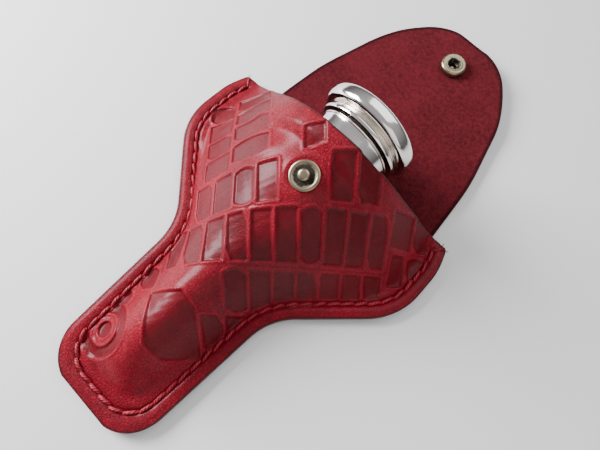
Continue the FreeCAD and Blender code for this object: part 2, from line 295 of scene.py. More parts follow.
class NodeKit:
    """Short ways to add and join nodes in one tree."""

    def __init__(self, tree: bpy.types.NodeTree) -> None:
        """Work in this tree."""
        self.tree = tree

    def add(self, kind: str, inputs: dict | None = None, **settings: object) -> bpy.types.Node:
        """Add a node.

        Args:
            kind: the node's type.
            inputs: values or sockets by input name or number.
            settings: properties of the node.

        Returns:
            The new node.
        """
        node = self.tree.nodes.new(kind)
        for key, value in settings.items():
            setattr(node, key, value)
        for key, value in (inputs or {}).items():
            self.feed(node.inputs[key], value)
        return node

    def feed(self, socket: bpy.types.NodeSocket, value: object) -> None:
        """Give an input a value or another node's output."""
        if isinstance(value, bpy.types.NodeSocket):
            self.tree.links.new(value, socket)
        else:
            socket.default_value = value

    def sum(self, kind: str, a: object, b: object = 0.0, c: object = 0.0,
            clamp: bool = False) -> bpy.types.NodeSocket:
        """Result of a Math node."""
        node = self.add("ShaderNodeMath", {0: a, 1: b, 2: c}, operation=kind, use_clamp=clamp)
        return node.outputs[0]

    def mix(self, factor: object, a: object, b: object) -> bpy.types.NodeSocket:
        """Colour between a and b."""
        node = self.add("ShaderNodeMix", data_type="RGBA")
        self.feed(node.inputs[0], factor)
        self.feed(node.inputs[6], a)
        self.feed(node.inputs[7], b)
        return node.outputs[2]

    def ramp(self, factor: object, low: float, high: float) -> bpy.types.NodeSocket:
        """Smooth step of a value from low to high."""
        node = self.add("ShaderNodeMapRange", {0: factor, 1: low, 2: high}, interpolation_type="SMOOTHSTEP")
        return node.outputs[0]

    def mark(self, name: str) -> bpy.types.NodeSocket:
        """Value of an attribute of the mesh."""
        return self.add("ShaderNodeAttribute", attribute_name=name).outputs["Fac"]

    def place(self) -> bpy.types.NodeSocket:
        """Place on the object, for patterns."""
        return self.add("ShaderNodeTexCoord").outputs["Object"]

    def noise(self, place: object, scale: object, detail: float, rough: float = 0.5) -> bpy.types.NodeSocket:
        """Value of a noise pattern."""
        node = self.add("ShaderNodeTexNoise",
                        {"Vector": place, "Scale": scale, "Detail": detail, "Roughness": rough})
        return node.outputs["Fac"]


def shader_group(name: str, inputs: tuple, outputs: tuple, build: Callable) -> bpy.types.NodeTree:
    """Make a shader node group once.

    Args:
        name: the group's name.
        inputs: (name, socket type, default) of each input.
        outputs: (name, socket type) of each output.

    Returns:
        The group.
    """
    if name in bpy.data.node_groups:
        return bpy.data.node_groups[name]
    tree = bpy.data.node_groups.new(name, "ShaderNodeTree")
    for label, kind, default in inputs:
        socket = tree.interface.new_socket(label, in_out="INPUT", socket_type=kind)
        socket.default_value = default
    for label, kind in outputs:
        tree.interface.new_socket(label, in_out="OUTPUT", socket_type=kind)
    kit = NodeKit(tree)
    build(kit, kit.add("NodeGroupInput"), kit.add("NodeGroupOutput"))
    return tree


def hide_grain() -> bpy.types.NodeTree:
    """Pebbled hide: small uneven cells with fine creases between them."""
    def build(kit: NodeKit, given: bpy.types.Node, result: bpy.types.Node) -> None:
        place = kit.place()
        drift = kit.add("ShaderNodeTexNoise", {"Vector": place, "Scale": 420.0, "Detail": 2.0})
        shift = kit.add("ShaderNodeVectorMath", {0: drift.outputs["Color"], 1: (0.5, 0.5, 0.5)},
                        operation="SUBTRACT")
        bent = kit.add("ShaderNodeVectorMath", {0: shift.outputs[0], 1: (0.0011,) * 3, 2: place},
                       operation="MULTIPLY_ADD").outputs[0]
        cells = kit.add("ShaderNodeTexVoronoi", {"Vector": bent, "Scale": given.outputs["Cells"]},
                        feature="DISTANCE_TO_EDGE").outputs["Distance"]
        smaller = kit.sum("MULTIPLY", given.outputs["Cells"], 2.3)
        fine = kit.add("ShaderNodeTexVoronoi", {"Vector": bent, "Scale": smaller},
                       feature="DISTANCE_TO_EDGE").outputs["Distance"]
        pebble = kit.ramp(cells, 0.0, 0.22)
        small = kit.ramp(fine, 0.0, 0.3)
        height = kit.sum("MULTIPLY_ADD", small, 0.35, kit.sum("MULTIPLY", pebble, 0.65))
        kit.feed(result.inputs["Height"], kit.sum("MULTIPLY", height, given.outputs["Depth"]))
        kit.feed(result.inputs["Crease"], kit.sum("SUBTRACT", 1.0, pebble))
    return shader_group("hide_grain",
                        (("Cells", "NodeSocketFloat", 1500.0), ("Depth", "NodeSocketFloat", 1.0)),
                        (("Height", "NodeSocketFloat"), ("Crease", "NodeSocketFloat")), build)


def uneven_dye() -> bpy.types.NodeTree:
    """Cloudy change of dye over a hide, from 0 to 1, at two sizes."""
    def build(kit: NodeKit, given: bpy.types.Node, result: bpy.types.Node) -> None:
        place = kit.place()
        wide = kit.noise(place, given.outputs["Size"], 3.0)
        near = kit.noise(place, kit.sum("MULTIPLY", given.outputs["Size"], 9.0), 5.0, 0.65)
        both = kit.sum("MULTIPLY_ADD", near, 0.45, kit.sum("MULTIPLY", wide, 0.55))
        kit.feed(result.inputs["Cloud"], kit.ramp(both, 0.36, 0.64))
    return shader_group("uneven_dye", (("Size", "NodeSocketFloat", 40.0),),
                        (("Cloud", "NodeSocketFloat"),), build)


def edge_wear() -> bpy.types.NodeTree:
    """Ragged mask along the edges that the mesh marks."""
    def build(kit: NodeKit, given: bpy.types.Node, result: bpy.types.Node) -> None:
        place = kit.place()
        rag = kit.noise(place, 600.0, 4.0)
        mark = kit.sum("ADD", given.outputs["Mark"], kit.sum("MULTIPLY", kit.sum("SUBTRACT", rag, 0.5), 0.7))
        worn = kit.sum("MULTIPLY", kit.ramp(mark, 0.35, 0.9), given.outputs["Strength"])
        kit.feed(result.inputs["Mask"], worn)
    return shader_group("edge_wear", (("Mark", "NodeSocketFloat", 0.0), ("Strength", "NodeSocketFloat", 1.0)),
                        (("Mask", "NodeSocketFloat"),), build)


@dataclass(frozen=True)
class Finish:
    """One finish: a base for the materials, with what every Principled shader here sets."""

    name: str
    colour: tuple
    rough: float
    metal: float = 0.0
    coat: float = 0.0
    coat_rough: float = 0.1
    sheen: float = 0.0
    shine: float = 0.5

    def start(self) -> tuple:
        """Make the material and its plain shader.

        Returns:
            The material, the node kit and the Principled node.
        """
        made = bpy.data.materials.new(self.name)
        made.use_nodes = True
        kit = NodeKit(made.node_tree)
        shader = made.node_tree.nodes["Principled BSDF"]
        shader.inputs["Base Color"].default_value = paint(self.colour)
        shader.inputs["Roughness"].default_value = self.rough
        shader.inputs["Metallic"].default_value = self.metal
        shader.inputs["Coat Weight"].default_value = self.coat
        shader.inputs["Coat Roughness"].default_value = self.coat_rough
        shader.inputs["Sheen Weight"].default_value = self.sheen
        shader.inputs["Sheen Roughness"].default_value = 0.5
        shader.inputs["Specular IOR Level"].default_value = self.shine
        made.diffuse_color = paint(self.colour)
        return made, kit, shader

    @staticmethod
    def group(kit: NodeKit, tree: bpy.types.NodeTree, inputs: dict) -> bpy.types.Node:
        """Place a shared group in the material and give its inputs."""
        return kit.add("ShaderNodeGroup", inputs, node_tree=tree)

    @staticmethod
    def bump(kit: NodeKit, shader: bpy.types.Node, height: bpy.types.NodeSocket, distance: float,
             strength: float = 1.0) -> None:
        """Feed a height to the shader's normal.

        Args:
            kit: the material's nodes.
            shader: its Principled node.
            height: the height, from 0 to about 1.
            distance: how deep that is, in metres.
            strength: how much of it shows.
        """
        node = kit.add("ShaderNodeBump", {"Height": height, "Distance": distance, "Strength": strength})
        kit.feed(shader.inputs["Normal"], node.outputs["Normal"])


@dataclass(frozen=True)
class GrainLeather(Finish):
    """Glossy dyed grain side: pebbled, darker and smoother where it is pressed in, and lighter along the
    raised ridges as a painted highlight.
    """

    # pressed: colour of the pressed-in blocks, also used as painted shade along the stitch crease
    pressed: tuple = (0.1, 0.01, 0.02)
    # ridge: lighter colour painted on the raised ridges as a highlight
    ridge: tuple = (0.6, 0.05, 0.08)
    worn: tuple = (0.1, 0.012, 0.02)

    def make(self) -> bpy.types.Material:
        """Build the material."""
        made, kit, shader = self.start()
        grain = self.group(kit, hide_grain(), {"Cells": 1000.0, "Depth": 1.0})
        cloud = self.group(kit, uneven_dye(), {"Size": 38.0}).outputs["Cloud"]
        wear = self.group(kit, edge_wear(), {"Mark": kit.mark("edge"), "Strength": 0.85}).outputs["Mask"]
        pressed, raised = kit.mark("pressed"), kit.mark("raised")
        base = kit.mix(cloud, paint(self.colour, 0.5), paint(self.colour))
        base = kit.mix(kit.sum("MULTIPLY", grain.outputs["Crease"], 0.7), base, paint(self.pressed))
        # Painted highlight: the raised ridges are mixed towards the lighter ridge colour
        base = kit.mix(kit.sum("MULTIPLY", raised, 0.22, clamp=True), base, paint(self.ridge))
        pressed_colour = kit.mix(cloud, paint(self.pressed, 0.6), paint(self.pressed))
        # The pressed mark darkens the pressed-in blocks and also paints shade along the stitch crease
        base = kit.mix(kit.sum("MULTIPLY", pressed, 0.9, clamp=True), base, pressed_colour)
        kit.feed(shader.inputs["Base Color"], kit.mix(wear, base, paint(self.worn)))
        smoother = kit.sum("MULTIPLY", pressed, -0.05)
        rough = kit.sum("ADD", kit.sum("MULTIPLY_ADD", grain.outputs["Crease"], 0.18, self.rough), smoother)
        kit.feed(shader.inputs["Roughness"], kit.sum("MULTIPLY_ADD", cloud, 0.08, rough))
        less = kit.sum("MULTIPLY_ADD", pressed, -0.55, 1.0)
        micro = kit.noise(kit.place(), 5200.0, 3.0)
        height = kit.sum("MULTIPLY_ADD", micro, 0.35, kit.sum("MULTIPLY", grain.outputs["Height"], less))
        self.bump(kit, shader, height, 0.0002)
        return made


@dataclass(frozen=True)
class Suede(Finish):
    """Matt flesh side: short nap, clouded, with dark specks."""

    dark: tuple = (0.08, 0.012, 0.018)
    worn: tuple = (0.05, 0.008, 0.012)

    def make(self) -> bpy.types.Material:
        """Build the material."""
        made, kit, shader = self.start()
        cloud = self.group(kit, uneven_dye(), {"Size": 60.0}).outputs["Cloud"]
        wear = self.group(kit, edge_wear(), {"Mark": kit.mark("edge"), "Strength": 0.9}).outputs["Mask"]
        place = kit.place()
        nap = kit.noise(place, 1500.0, 6.0, 0.7)
        tuft = kit.noise(place, 640.0, 4.0, 0.7)
        speck = kit.ramp(kit.sum("MULTIPLY_ADD", nap, 0.5, kit.sum("MULTIPLY", tuft, 0.5)), 0.4, 0.6)
        base = kit.mix(speck, paint(self.dark), paint(self.colour))
        base = kit.mix(kit.sum("MULTIPLY", cloud, 0.4), base, paint(self.colour, 1.45))
        kit.feed(shader.inputs["Base Color"], kit.mix(wear, base, paint(self.worn)))
        height = kit.sum("MULTIPLY_ADD", tuft, 1.0, kit.sum("MULTIPLY", nap, 0.8))
        self.bump(kit, shader, height, 0.00025, 0.7)
        return made


@dataclass(frozen=True)
class BurnishedEdge(Finish):
    """Cut edge of two glued layers, rubbed dark, with fine fibre streaks along it."""

    def make(self) -> bpy.types.Material:
        """Build the material."""
        made, kit, shader = self.start()
        place = kit.place()
        flat = kit.add("ShaderNodeVectorMath", {0: place, 1: (300.0, 300.0, 2400.0)},
                       operation="MULTIPLY").outputs[0]
        fibre = kit.noise(flat, 1.0, 5.0)
        cloud = self.group(kit, uneven_dye(), {"Size": 90.0}).outputs["Cloud"]
        tone = kit.sum("MULTIPLY_ADD", fibre, 0.6, kit.sum("MULTIPLY", cloud, 0.4))
        colour = kit.mix(kit.ramp(tone, 0.3, 0.7), paint(self.colour, 0.35), paint(self.colour))
        kit.feed(shader.inputs["Base Color"], colour)
        self.bump(kit, shader, fibre, 0.0003, 0.6)
        return made


@dataclass(frozen=True)
class WaxedThread(Finish):
    """Thick waxed thread: plies wound round its own length, with painted shade in the grooves between them.
    """

    def make(self) -> bpy.types.Material:
        """Build the material."""
        made, kit, shader = self.start()
        along, round_at = kit.mark("along"), kit.mark("round_at")
        wind = kit.sum("SINE", kit.sum("MULTIPLY_ADD", along, 5600.0, kit.sum("MULTIPLY", round_at, 3.0)))
        ply = kit.ramp(wind, -1.0, 0.6)
        fuzz = kit.noise(kit.place(), 4200.0, 3.0)
        # Painted shade darkens the grooves between the plies; the fuzz adds real uneven tone
        tone = kit.sum("MULTIPLY", ply, kit.ramp(fuzz, 0.25, 0.6))
        kit.feed(shader.inputs["Base Color"], kit.mix(tone, paint(self.colour, 0.3), paint(self.colour)))
        self.bump(kit, shader, kit.sum("MULTIPLY_ADD", fuzz, 0.3, ply), 0.00014, 0.9)
        return made


@dataclass(frozen=True)
class AntiqueBrass(Finish):
    """Cast-look brass: dark in its hollows, rubbed bright on what stands out."""

    dark: tuple = (0.03, 0.027, 0.022)

    def make(self) -> bpy.types.Material:
        """Build the material."""
        made, kit, shader = self.start()
        place = kit.place()
        speck = kit.noise(place, 1600.0, 5.0)
        ragged = kit.sum("MULTIPLY", kit.sum("SUBTRACT", speck, 0.5), 0.9)
        # Darker in the marked hollows: patina, and painted shade inside the socket's hole
        patina_and_shade = kit.sum("ADD", kit.mark("hollow"), ragged, clamp=True)
        wear = self.group(kit, edge_wear(), {"Mark": patina_and_shade, "Strength": 1.0}).outputs["Mask"]
        kit.feed(shader.inputs["Base Color"], kit.mix(wear, paint(self.colour), paint(self.dark)))
        kit.feed(shader.inputs["Roughness"], kit.sum("MULTIPLY_ADD", wear, 0.3, self.rough))
        self.bump(kit, shader, speck, 0.00006, 0.6)
        return made


@dataclass(frozen=True)
class PolishedPlate(Finish):
    """Polished silver plate or steel wire, with faint turning lines and a breath of tarnish; the spring wire
    gets a dark colour as painted shade in the socket's hole.
    """

    tarnish: tuple = (0.6, 0.5, 0.36)

    def make(self) -> bpy.types.Material:
        """Build the material."""
        made, kit, shader = self.start()
        cloud = self.group(kit, uneven_dye(), {"Size": 70.0}).outputs["Cloud"]
        dull = kit.sum("MULTIPLY", kit.mark("hollow"), 0.6)
        old = kit.sum("MAXIMUM", kit.sum("MULTIPLY", cloud, 0.1), dull)
        kit.feed(shader.inputs["Base Color"], kit.mix(old, paint(self.colour), paint(self.tarnish)))
        kit.feed(shader.inputs["Roughness"], kit.sum("MULTIPLY_ADD", old, 0.18, self.rough))
        place = kit.place()
        swirl = kit.noise(place, 3000.0, 2.0)
        self.bump(kit, shader, swirl, 0.000006, 0.5)
        return made


# The ridge colour below is a painted highlight for the raised ridges
GRAIN = GrainLeather("red_grain_leather", (0.3, 0.004, 0.018), 0.42, coat=0.19, coat_rough=0.27, shine=0.1,
                     pressed=(0.125, 0.0015, 0.0065), ridge=(0.42, 0.014, 0.036), worn=(0.05, 0.0015, 0.0035))
SUEDE = Suede("dark_red_suede", (0.1, 0.0085, 0.0125), 0.95, sheen=0.03, shine=0.1,
              dark=(0.046, 0.003, 0.0055), worn=(0.026, 0.0018, 0.0028))
EDGE = BurnishedEdge("burnished_leather_edge", (0.085, 0.003, 0.006), 0.5, coat=0.05, shine=0.25)
THREAD = WaxedThread("red_waxed_thread", (0.47, 0.012, 0.034), 0.5, coat=0.06, shine=0.35)
BRASS = AntiqueBrass("antique_brass", (0.35, 0.29, 0.19), 0.3, metal=1.0)
SILVER = PolishedPlate("polished_silver_plate", (0.9, 0.865, 0.83), 0.13, metal=1.0)
# The spring wire's dark colour is painted shade for the inside of the socket's hole
WIRE = PolishedPlate("spring_wire", (0.16, 0.15, 0.14), 0.35, metal=1.0)


# ---------------------------------------------------------------- sizes shared by the leather pieces

LEATHER = 1.8
SEAM_TOP = 2 * LEATHER
TAIL_HALF = 21.2
TAIL_RADIUS = 14.0
WAIST = (24.4, 59.5)
LOBE = (56.6, 91.5)
SHOULDER = (56.4, 114.0)
MOUTH_HALF = 53.4
MOUTH_Y = 123.2
MOUTH_ROUND = 2.5
MOUTH_LEAN = math.radians(19.0)
FOLD_Y = 124.2
FLAP_X = 4.0
FLAP_LENGTH = 82.086
SHEET_JOINT = 147.0
ROLL_AT = 45.69
ROOT_TILT = math.radians(1.5)
TIP_TILT = math.radians(4.0)
SEAM_INSET = 5.0
SEAM_STOP = 4.0
STITCH_PITCH = 4.8
OUTLINE = [(0.0, 0.0, 0), (TAIL_HALF, 0.0, TAIL_RADIUS), (*WAIST, 24.0), (*LOBE, 26.0), (*SHOULDER, 30.0),
           (MOUTH_HALF, MOUTH_Y, MOUTH_ROUND), (0.0, MOUTH_Y, 0)]
FLAP_OUTLINE = [(42.6, 0.0, 0), (40.2, 27.0, 90.0), (31.5, 62.0, 58.0), (15.0, FLAP_LENGTH, 23.0),
                (0.0, FLAP_LENGTH, 0)]
CREST = ((6.0, 0.0), (16.0, 7.0), (30.0, 14.8), (52.0, 18.4), (66.0, 21.2), (78.0, 26.7), (94.0, 33.2),
         (101.4, 35.3), (105.2, 39.1), (111.0, 40.3), (130.0, 40.5))
BULGE_HALF = ((0.0, 13.2), (8.0, 20.4), (20.0, 21.8), (46.0, 24.4), (61.5, 29.4), (75.0, 40.9), (87.5, 49.6),
              (101.5, 55.6), (133.2, 55.6))
STUD_AT = (4.5, 94.4, 36.321)
STUD_TILT = math.radians(17.33)
STUD = Matrix.Translation(STUD_AT) @ Matrix.Rotation(STUD_TILT, 4, "X")
TIP = Matrix.Translation((0.0, 169.87, 2.996)) @ Matrix.Rotation(TIP_TILT, 4, "X")
SNAP_AT = Vector((4.5, 20.0, 0.0))


def outline_half(y: np.ndarray) -> np.ndarray:
    """Half width of the pouch at a place along Y."""
    line = rounded_line(OUTLINE, 2.0)
    side = line[line[:, 0] > 1e-6]
    order = np.argsort(side[:, 1], kind="stable")
    return np.interp(y, side[order, 1], side[order, 0])


def flap_half(along: np.ndarray) -> np.ndarray:
    """Half width of the flap at a distance along it from the fold."""
    line = rounded_line(FLAP_OUTLINE, 2.0)
    return np.interp(along, line[:-1, 1], line[:-1, 0])


def bulge(x: np.ndarray, y: np.ndarray, wall: float) -> np.ndarray:
    """Height of the front's bulge over the seam.

    Args:
        x: places across.
        y: places along.
        wall: how much narrower the bulge is; 0 on the outer face.

    Returns:
        One height per place.
    """
    crest = 4.0 * y / MOUTH_Y
    width = pchip(BULGE_HALF, y) - 6.6 - wall
    u = np.where(x > crest, (x - crest) / (width - crest), (crest - x) / (width + crest))
    return pchip(CREST, y) * (1.0 - np.minimum(u, 1.0)**2)**1.6


def stitch_line() -> tuple:
    """Stitch line from the right mouth corner round the tail to the left one.

    Returns:
        Its points, its length and the number of stitches.
    """
    n = SEAM_INSET
    half = rounded_line([(0.0, n, 0), (TAIL_HALF - n, n, 11.0), (WAIST[0] - n, WAIST[1] + 0.42 * n, 29.0),
                         (LOBE[0] - n, LOBE[1] + 0.42 * n, 21.0), (SHOULDER[0] - n, SHOULDER[1], 25.0),
                         (MOUTH_HALF - n, MOUTH_Y, 0)], 3.0)
    limit = MOUTH_Y - SEAM_STOP
    cut = [p for p in half if p[1] < limit]
    a, b = cut[-1], half[len(cut)]
    cut.append(a + (b - a) * (limit - a[1]) / (b[1] - a[1]))
    half = np.array(cut)
    line = np.concatenate([half[::-1], half[1:] * (-1, 1)])
    length = float(np.hypot(*np.diff(line, axis=0).T).sum())
    return line, length, int(length / STITCH_PITCH)


def walk(line: np.ndarray, places: np.ndarray) -> np.ndarray:
    """Points of a line at distances along it."""
    run = np.concatenate([[0.0], np.cumsum(np.hypot(*np.diff(line, axis=0).T))])
    return np.stack([np.interp(places, run, line[:, k]) for k in range(line.shape[1])], 1)


def waves(x: np.ndarray, y: np.ndarray, seed: float, size: float) -> np.ndarray:
    """Gentle unevenness of hand-worked leather, about -1 to 1, with waves of roughly this size."""
    k = 2 * math.pi / size
    return (np.sin(k * (x + 0.31 * y) + seed) * np.cos(k * (0.83 * y - 0.2 * x) + 1.7 * seed)
            + 0.5 * np.sin(k * (1.7 * x - 1.1 * y) + 2.3 * seed)) / 1.5


class Motif(Enum):
    """Plain shapes that the front is blocked with."""

    TILE = "tile"
    LEAN = "leaning tile"
    TAPER = "tapered tile"
    CHIPPED = "tile with cut corners"
    BOWED = "tile with bowed ends"
    OVAL = "oval"

    def corners(self) -> list:
        """Outlines of the shape's parts in a unit square."""
        arc = np.linspace(0, 2 * math.pi, 25)[:-1]
        shapes = {
            Motif.TILE: [[(0, 0), (1, 0), (1, 1), (0, 1)]],
            Motif.LEAN: [[(0, 0), (0.8, 0), (1, 1), (0.2, 1)]],
            Motif.TAPER: [[(0.16, 0), (0.84, 0), (1, 1), (0, 1)]],
            Motif.CHIPPED: [[(0.24, 0), (1, 0), (1, 0.76), (0.76, 1), (0, 1), (0, 0.24)]],
            Motif.BOWED: [[(0, 0.1), (0.25, 0.02), (0.5, 0), (0.75, 0.02), (1, 0.1), (1, 0.9), (0.75, 0.98),
                           (0.5, 1), (0.25, 0.98), (0, 0.9)]],
            Motif.OVAL: [[(0.5 + 0.5 * math.cos(a), 0.5 + 0.5 * math.sin(a)) for a in arc]],
        }
        return [np.array(part, float) for part in shapes[self]]


@dataclass(frozen=True)
class Block:
    """One pressed shape: its motif and its box on the front, before the pattern's turn."""

    motif: Motif
    low: tuple
    high: tuple

    def outlines(self) -> list:
        """Corners of each part on the front's pattern plane."""
        low, high = np.array(self.low, float), np.array(self.high, float)
        return [low + part * (high - low) for part in self.motif.corners()]


def band(motifs: list, start: float, end: float, low: float, high: float, gap: float = 1.35) -> list:
    """Blocks side by side in one band.

    Args:
        motifs: the shapes in order.
        start: where the band starts.
        end: where the band ends.
        low: its lower edge.
        high: its upper edge.
        gap: leather left between two shapes.

    Returns:
        The blocks.
    """
    step = (end - start + gap) / len(motifs)
    return [Block(m, (start + k * step, low), (start + (k + 1) * step - gap, high))
            for k, m in enumerate(motifs)]


def signed_distance(p: np.ndarray, q: np.ndarray, outline: np.ndarray) -> np.ndarray:
    """Distance to a closed outline, negative inside.

    Args:
        p: places across the pattern.
        q: places along it.
        outline: corners of the outline, in order.

    Returns:
        One distance per place.
    """
    best = distance_to_line(p, q, np.vstack([outline, outline[:1]]))
    inside = np.zeros(p.shape, bool)
    for a, b in zip(outline, np.roll(outline, -1, 0)):
        if a[1] != b[1]:
            crossed = (a[1] > q) != (b[1] > q)
            inside ^= crossed & (p < a[0] + (q - a[1]) * (b[0] - a[0]) / (b[1] - a[1]))
    return np.where(inside, -best, best)


@dataclass
class Blocking:
    """The blocked pattern: bands of plain shapes, and a ring near the tail."""

    turn: float = math.radians(44.7)
    centre: tuple = STUD_AT[:2]
    depth: float = 0.62
    ridge: float = 0.3
    ring_at: tuple = (-64.6, -42.2)
    ring_radius: float = 7.4
    ring_half: float = 1.7
    dot_radius: float = 2.6
    blocks: list = field(default_factory=list)

    def __post_init__(self) -> None:
        """Lay out the bands."""
        m = Motif
        self.blocks = [
            *band([m.CHIPPED, m.TILE, m.BOWED, m.TILE], -37.0, -8.0, -6.3, 6.5),
            *band([m.TILE, m.CHIPPED], 8.0, 23.5, -6.5, 5.5),
            *band([m.TAPER, m.CHIPPED, m.TILE, m.CHIPPED, m.TILE, m.TILE, m.BOWED, m.TILE, m.TILE, m.CHIPPED],
                  -46.5, 28.5, -22.8, -8.6),
            *band([m.BOWED, m.TILE, m.TILE, m.CHIPPED, m.TILE, m.TILE, m.TAPER], -24.5, 28.5, -37.0, -25.2),
            *band([m.TILE, m.CHIPPED], 30.5, 50.0, -15.8, -6.0),
            *band([m.LEAN, m.BOWED], 31.0, 45.5, -28.0, -18.0),
            *band([m.CHIPPED], -48.0, -33.5, -52.0, -31.5),
            *band([m.CHIPPED, m.TILE], -32.0, -19.0, -50.5, -38.5),
            Block(m.CHIPPED, (-55.0, -29.0), (-48.5, -21.5)),
            Block(m.OVAL, (-63.2, -34.0), (-57.6, -28.4)),
            *[Block((m.TILE, m.CHIPPED)[k % 2], (-34.5, 9.0 + 9.2 * k), (-25.0, 17.0 + 9.2 * k))
              for k in range(4)],
            *[Block((m.BOWED, m.CHIPPED)[k % 2], (-23.5, 10.5 + 9.4 * k), (-11.0, 18.6 + 9.4 * k))
              for k in range(4)],
            Block(m.TILE, (0.0, 8.5), (6.0, 14.5)),
        ]

    def read(self, x: np.ndarray, y: np.ndarray) -> tuple:
        """Relief of the pattern.

        Args:
            x: places across.
            y: places along.

        Returns:
            Height, pressed mask and raised mask.
        """
        c, s = math.cos(self.turn), math.sin(self.turn)
        p = (x - self.centre[0]) * c + (y - self.centre[1]) * s
        q = -(x - self.centre[0]) * s + (y - self.centre[1]) * c
        nearest = np.full(x.shape, 9.0)
        for outline in [part for block in self.blocks for part in block.outlines()]:
            low, high = outline.min(0) - 2.5, outline.max(0) + 2.5
            near = (p > low[0]) & (p < high[0]) & (q > low[1]) & (q < high[1])
            if near.any():
                nearest[near] = np.minimum(nearest[near], signed_distance(p[near], q[near], outline))
        r = np.hypot(p - self.ring_at[0], q - self.ring_at[1])
        nearest = np.minimum(nearest, np.abs(r - self.ring_radius) - self.ring_half)
        nearest = np.minimum(nearest, r - self.dot_radius)
        pressed = 1 - smooth(-0.4, 0.25, nearest)
        raised = np.exp(-((nearest - 0.6) / 0.38)**2)
        floor = waves(x, y, 3.0, 4.5) * 0.05 * pressed
        return self.ridge * raised - self.depth * pressed + floor, pressed, raised


def joined_skins(maker: MeshMaker, fine: dict, coarse: dict, step: int, rounds: tuple,
                 edge_slot: int) -> None:
    """Close two facing skins into one solid with a rounded edge.

    Args:
        maker: mesh being built.
        fine: grid, slot and marks of the finer skin, whether its faces are flipped, and the full grid that
            faces it.
        coarse: grid, slot and marks of the facing skin: every step-th point of that full grid.
        step: how many fine points go to one coarse one.
        rounds: edge radius at the fine skin and at the coarse one.
        edge_slot: material slot of the edge.
    """
    a = maker.add_grid(fine["grid"], fine["slot"], flip=fine["flip"], **fine["marks"])
    b = maker.add_grid(coarse["grid"], coarse["slot"], flip=not fine["flip"], **coarse["marks"])
    top, low = border(fine["grid"]), border(fine["facing"])
    ring_a, ring_b = border(a), border(b)
    down = low - top
    thick = np.linalg.norm(down, axis=1, keepdims=True)
    down = down / thick
    tangent = np.roll(top, -1, 0) - np.roll(top, 1, 0)
    out = np.cross(tangent, down)
    middle = top.mean(0)
    if np.sum(out * (top - middle)) < 0:
        out = -out
    out /= np.maximum(np.linalg.norm(out, axis=1, keepdims=True), 1e-9)
    r1, r2 = rounds
    levels = [top + out * r1 * 0.62 + down * r1 * 0.2, top + out * r1 + down * r1 * 0.9,
              top + out * r1 + down * thick * 0.5, low + out * r1 - down * r2 * 0.9,
              low + out * r1 * 0.7 - down * r2 * 0.2]
    count = len(ring_a)
    previous = ring_a
    for level in levels:
        start = maker.add_points(level, edge=np.ones(count))
        here = np.arange(start, start + count)
        after, before = np.roll(here, -1), np.roll(previous, -1)
        quads = np.stack([previous, here, after, before], 1)
        maker.add_faces((quads[:, ::-1] if fine["flip"] else quads).tolist(), edge_slot)
        previous = here
    for k in range(len(ring_b)):
        run = [previous[(k * step + i) % count] for i in range(step + 1)]
        face = [ring_b[k], ring_b[(k + 1) % len(ring_b)], *run[::-1]]
        maker.add_faces([face[::-1] if fine["flip"] else face], edge_slot)


def border(grid: np.ndarray) -> np.ndarray:
    """Closed ring of a grid's border, starting along its first row."""
    return np.concatenate([grid[0, :-1], grid[:-1, -1], grid[-1, :0:-1], grid[:0:-1, 0]])


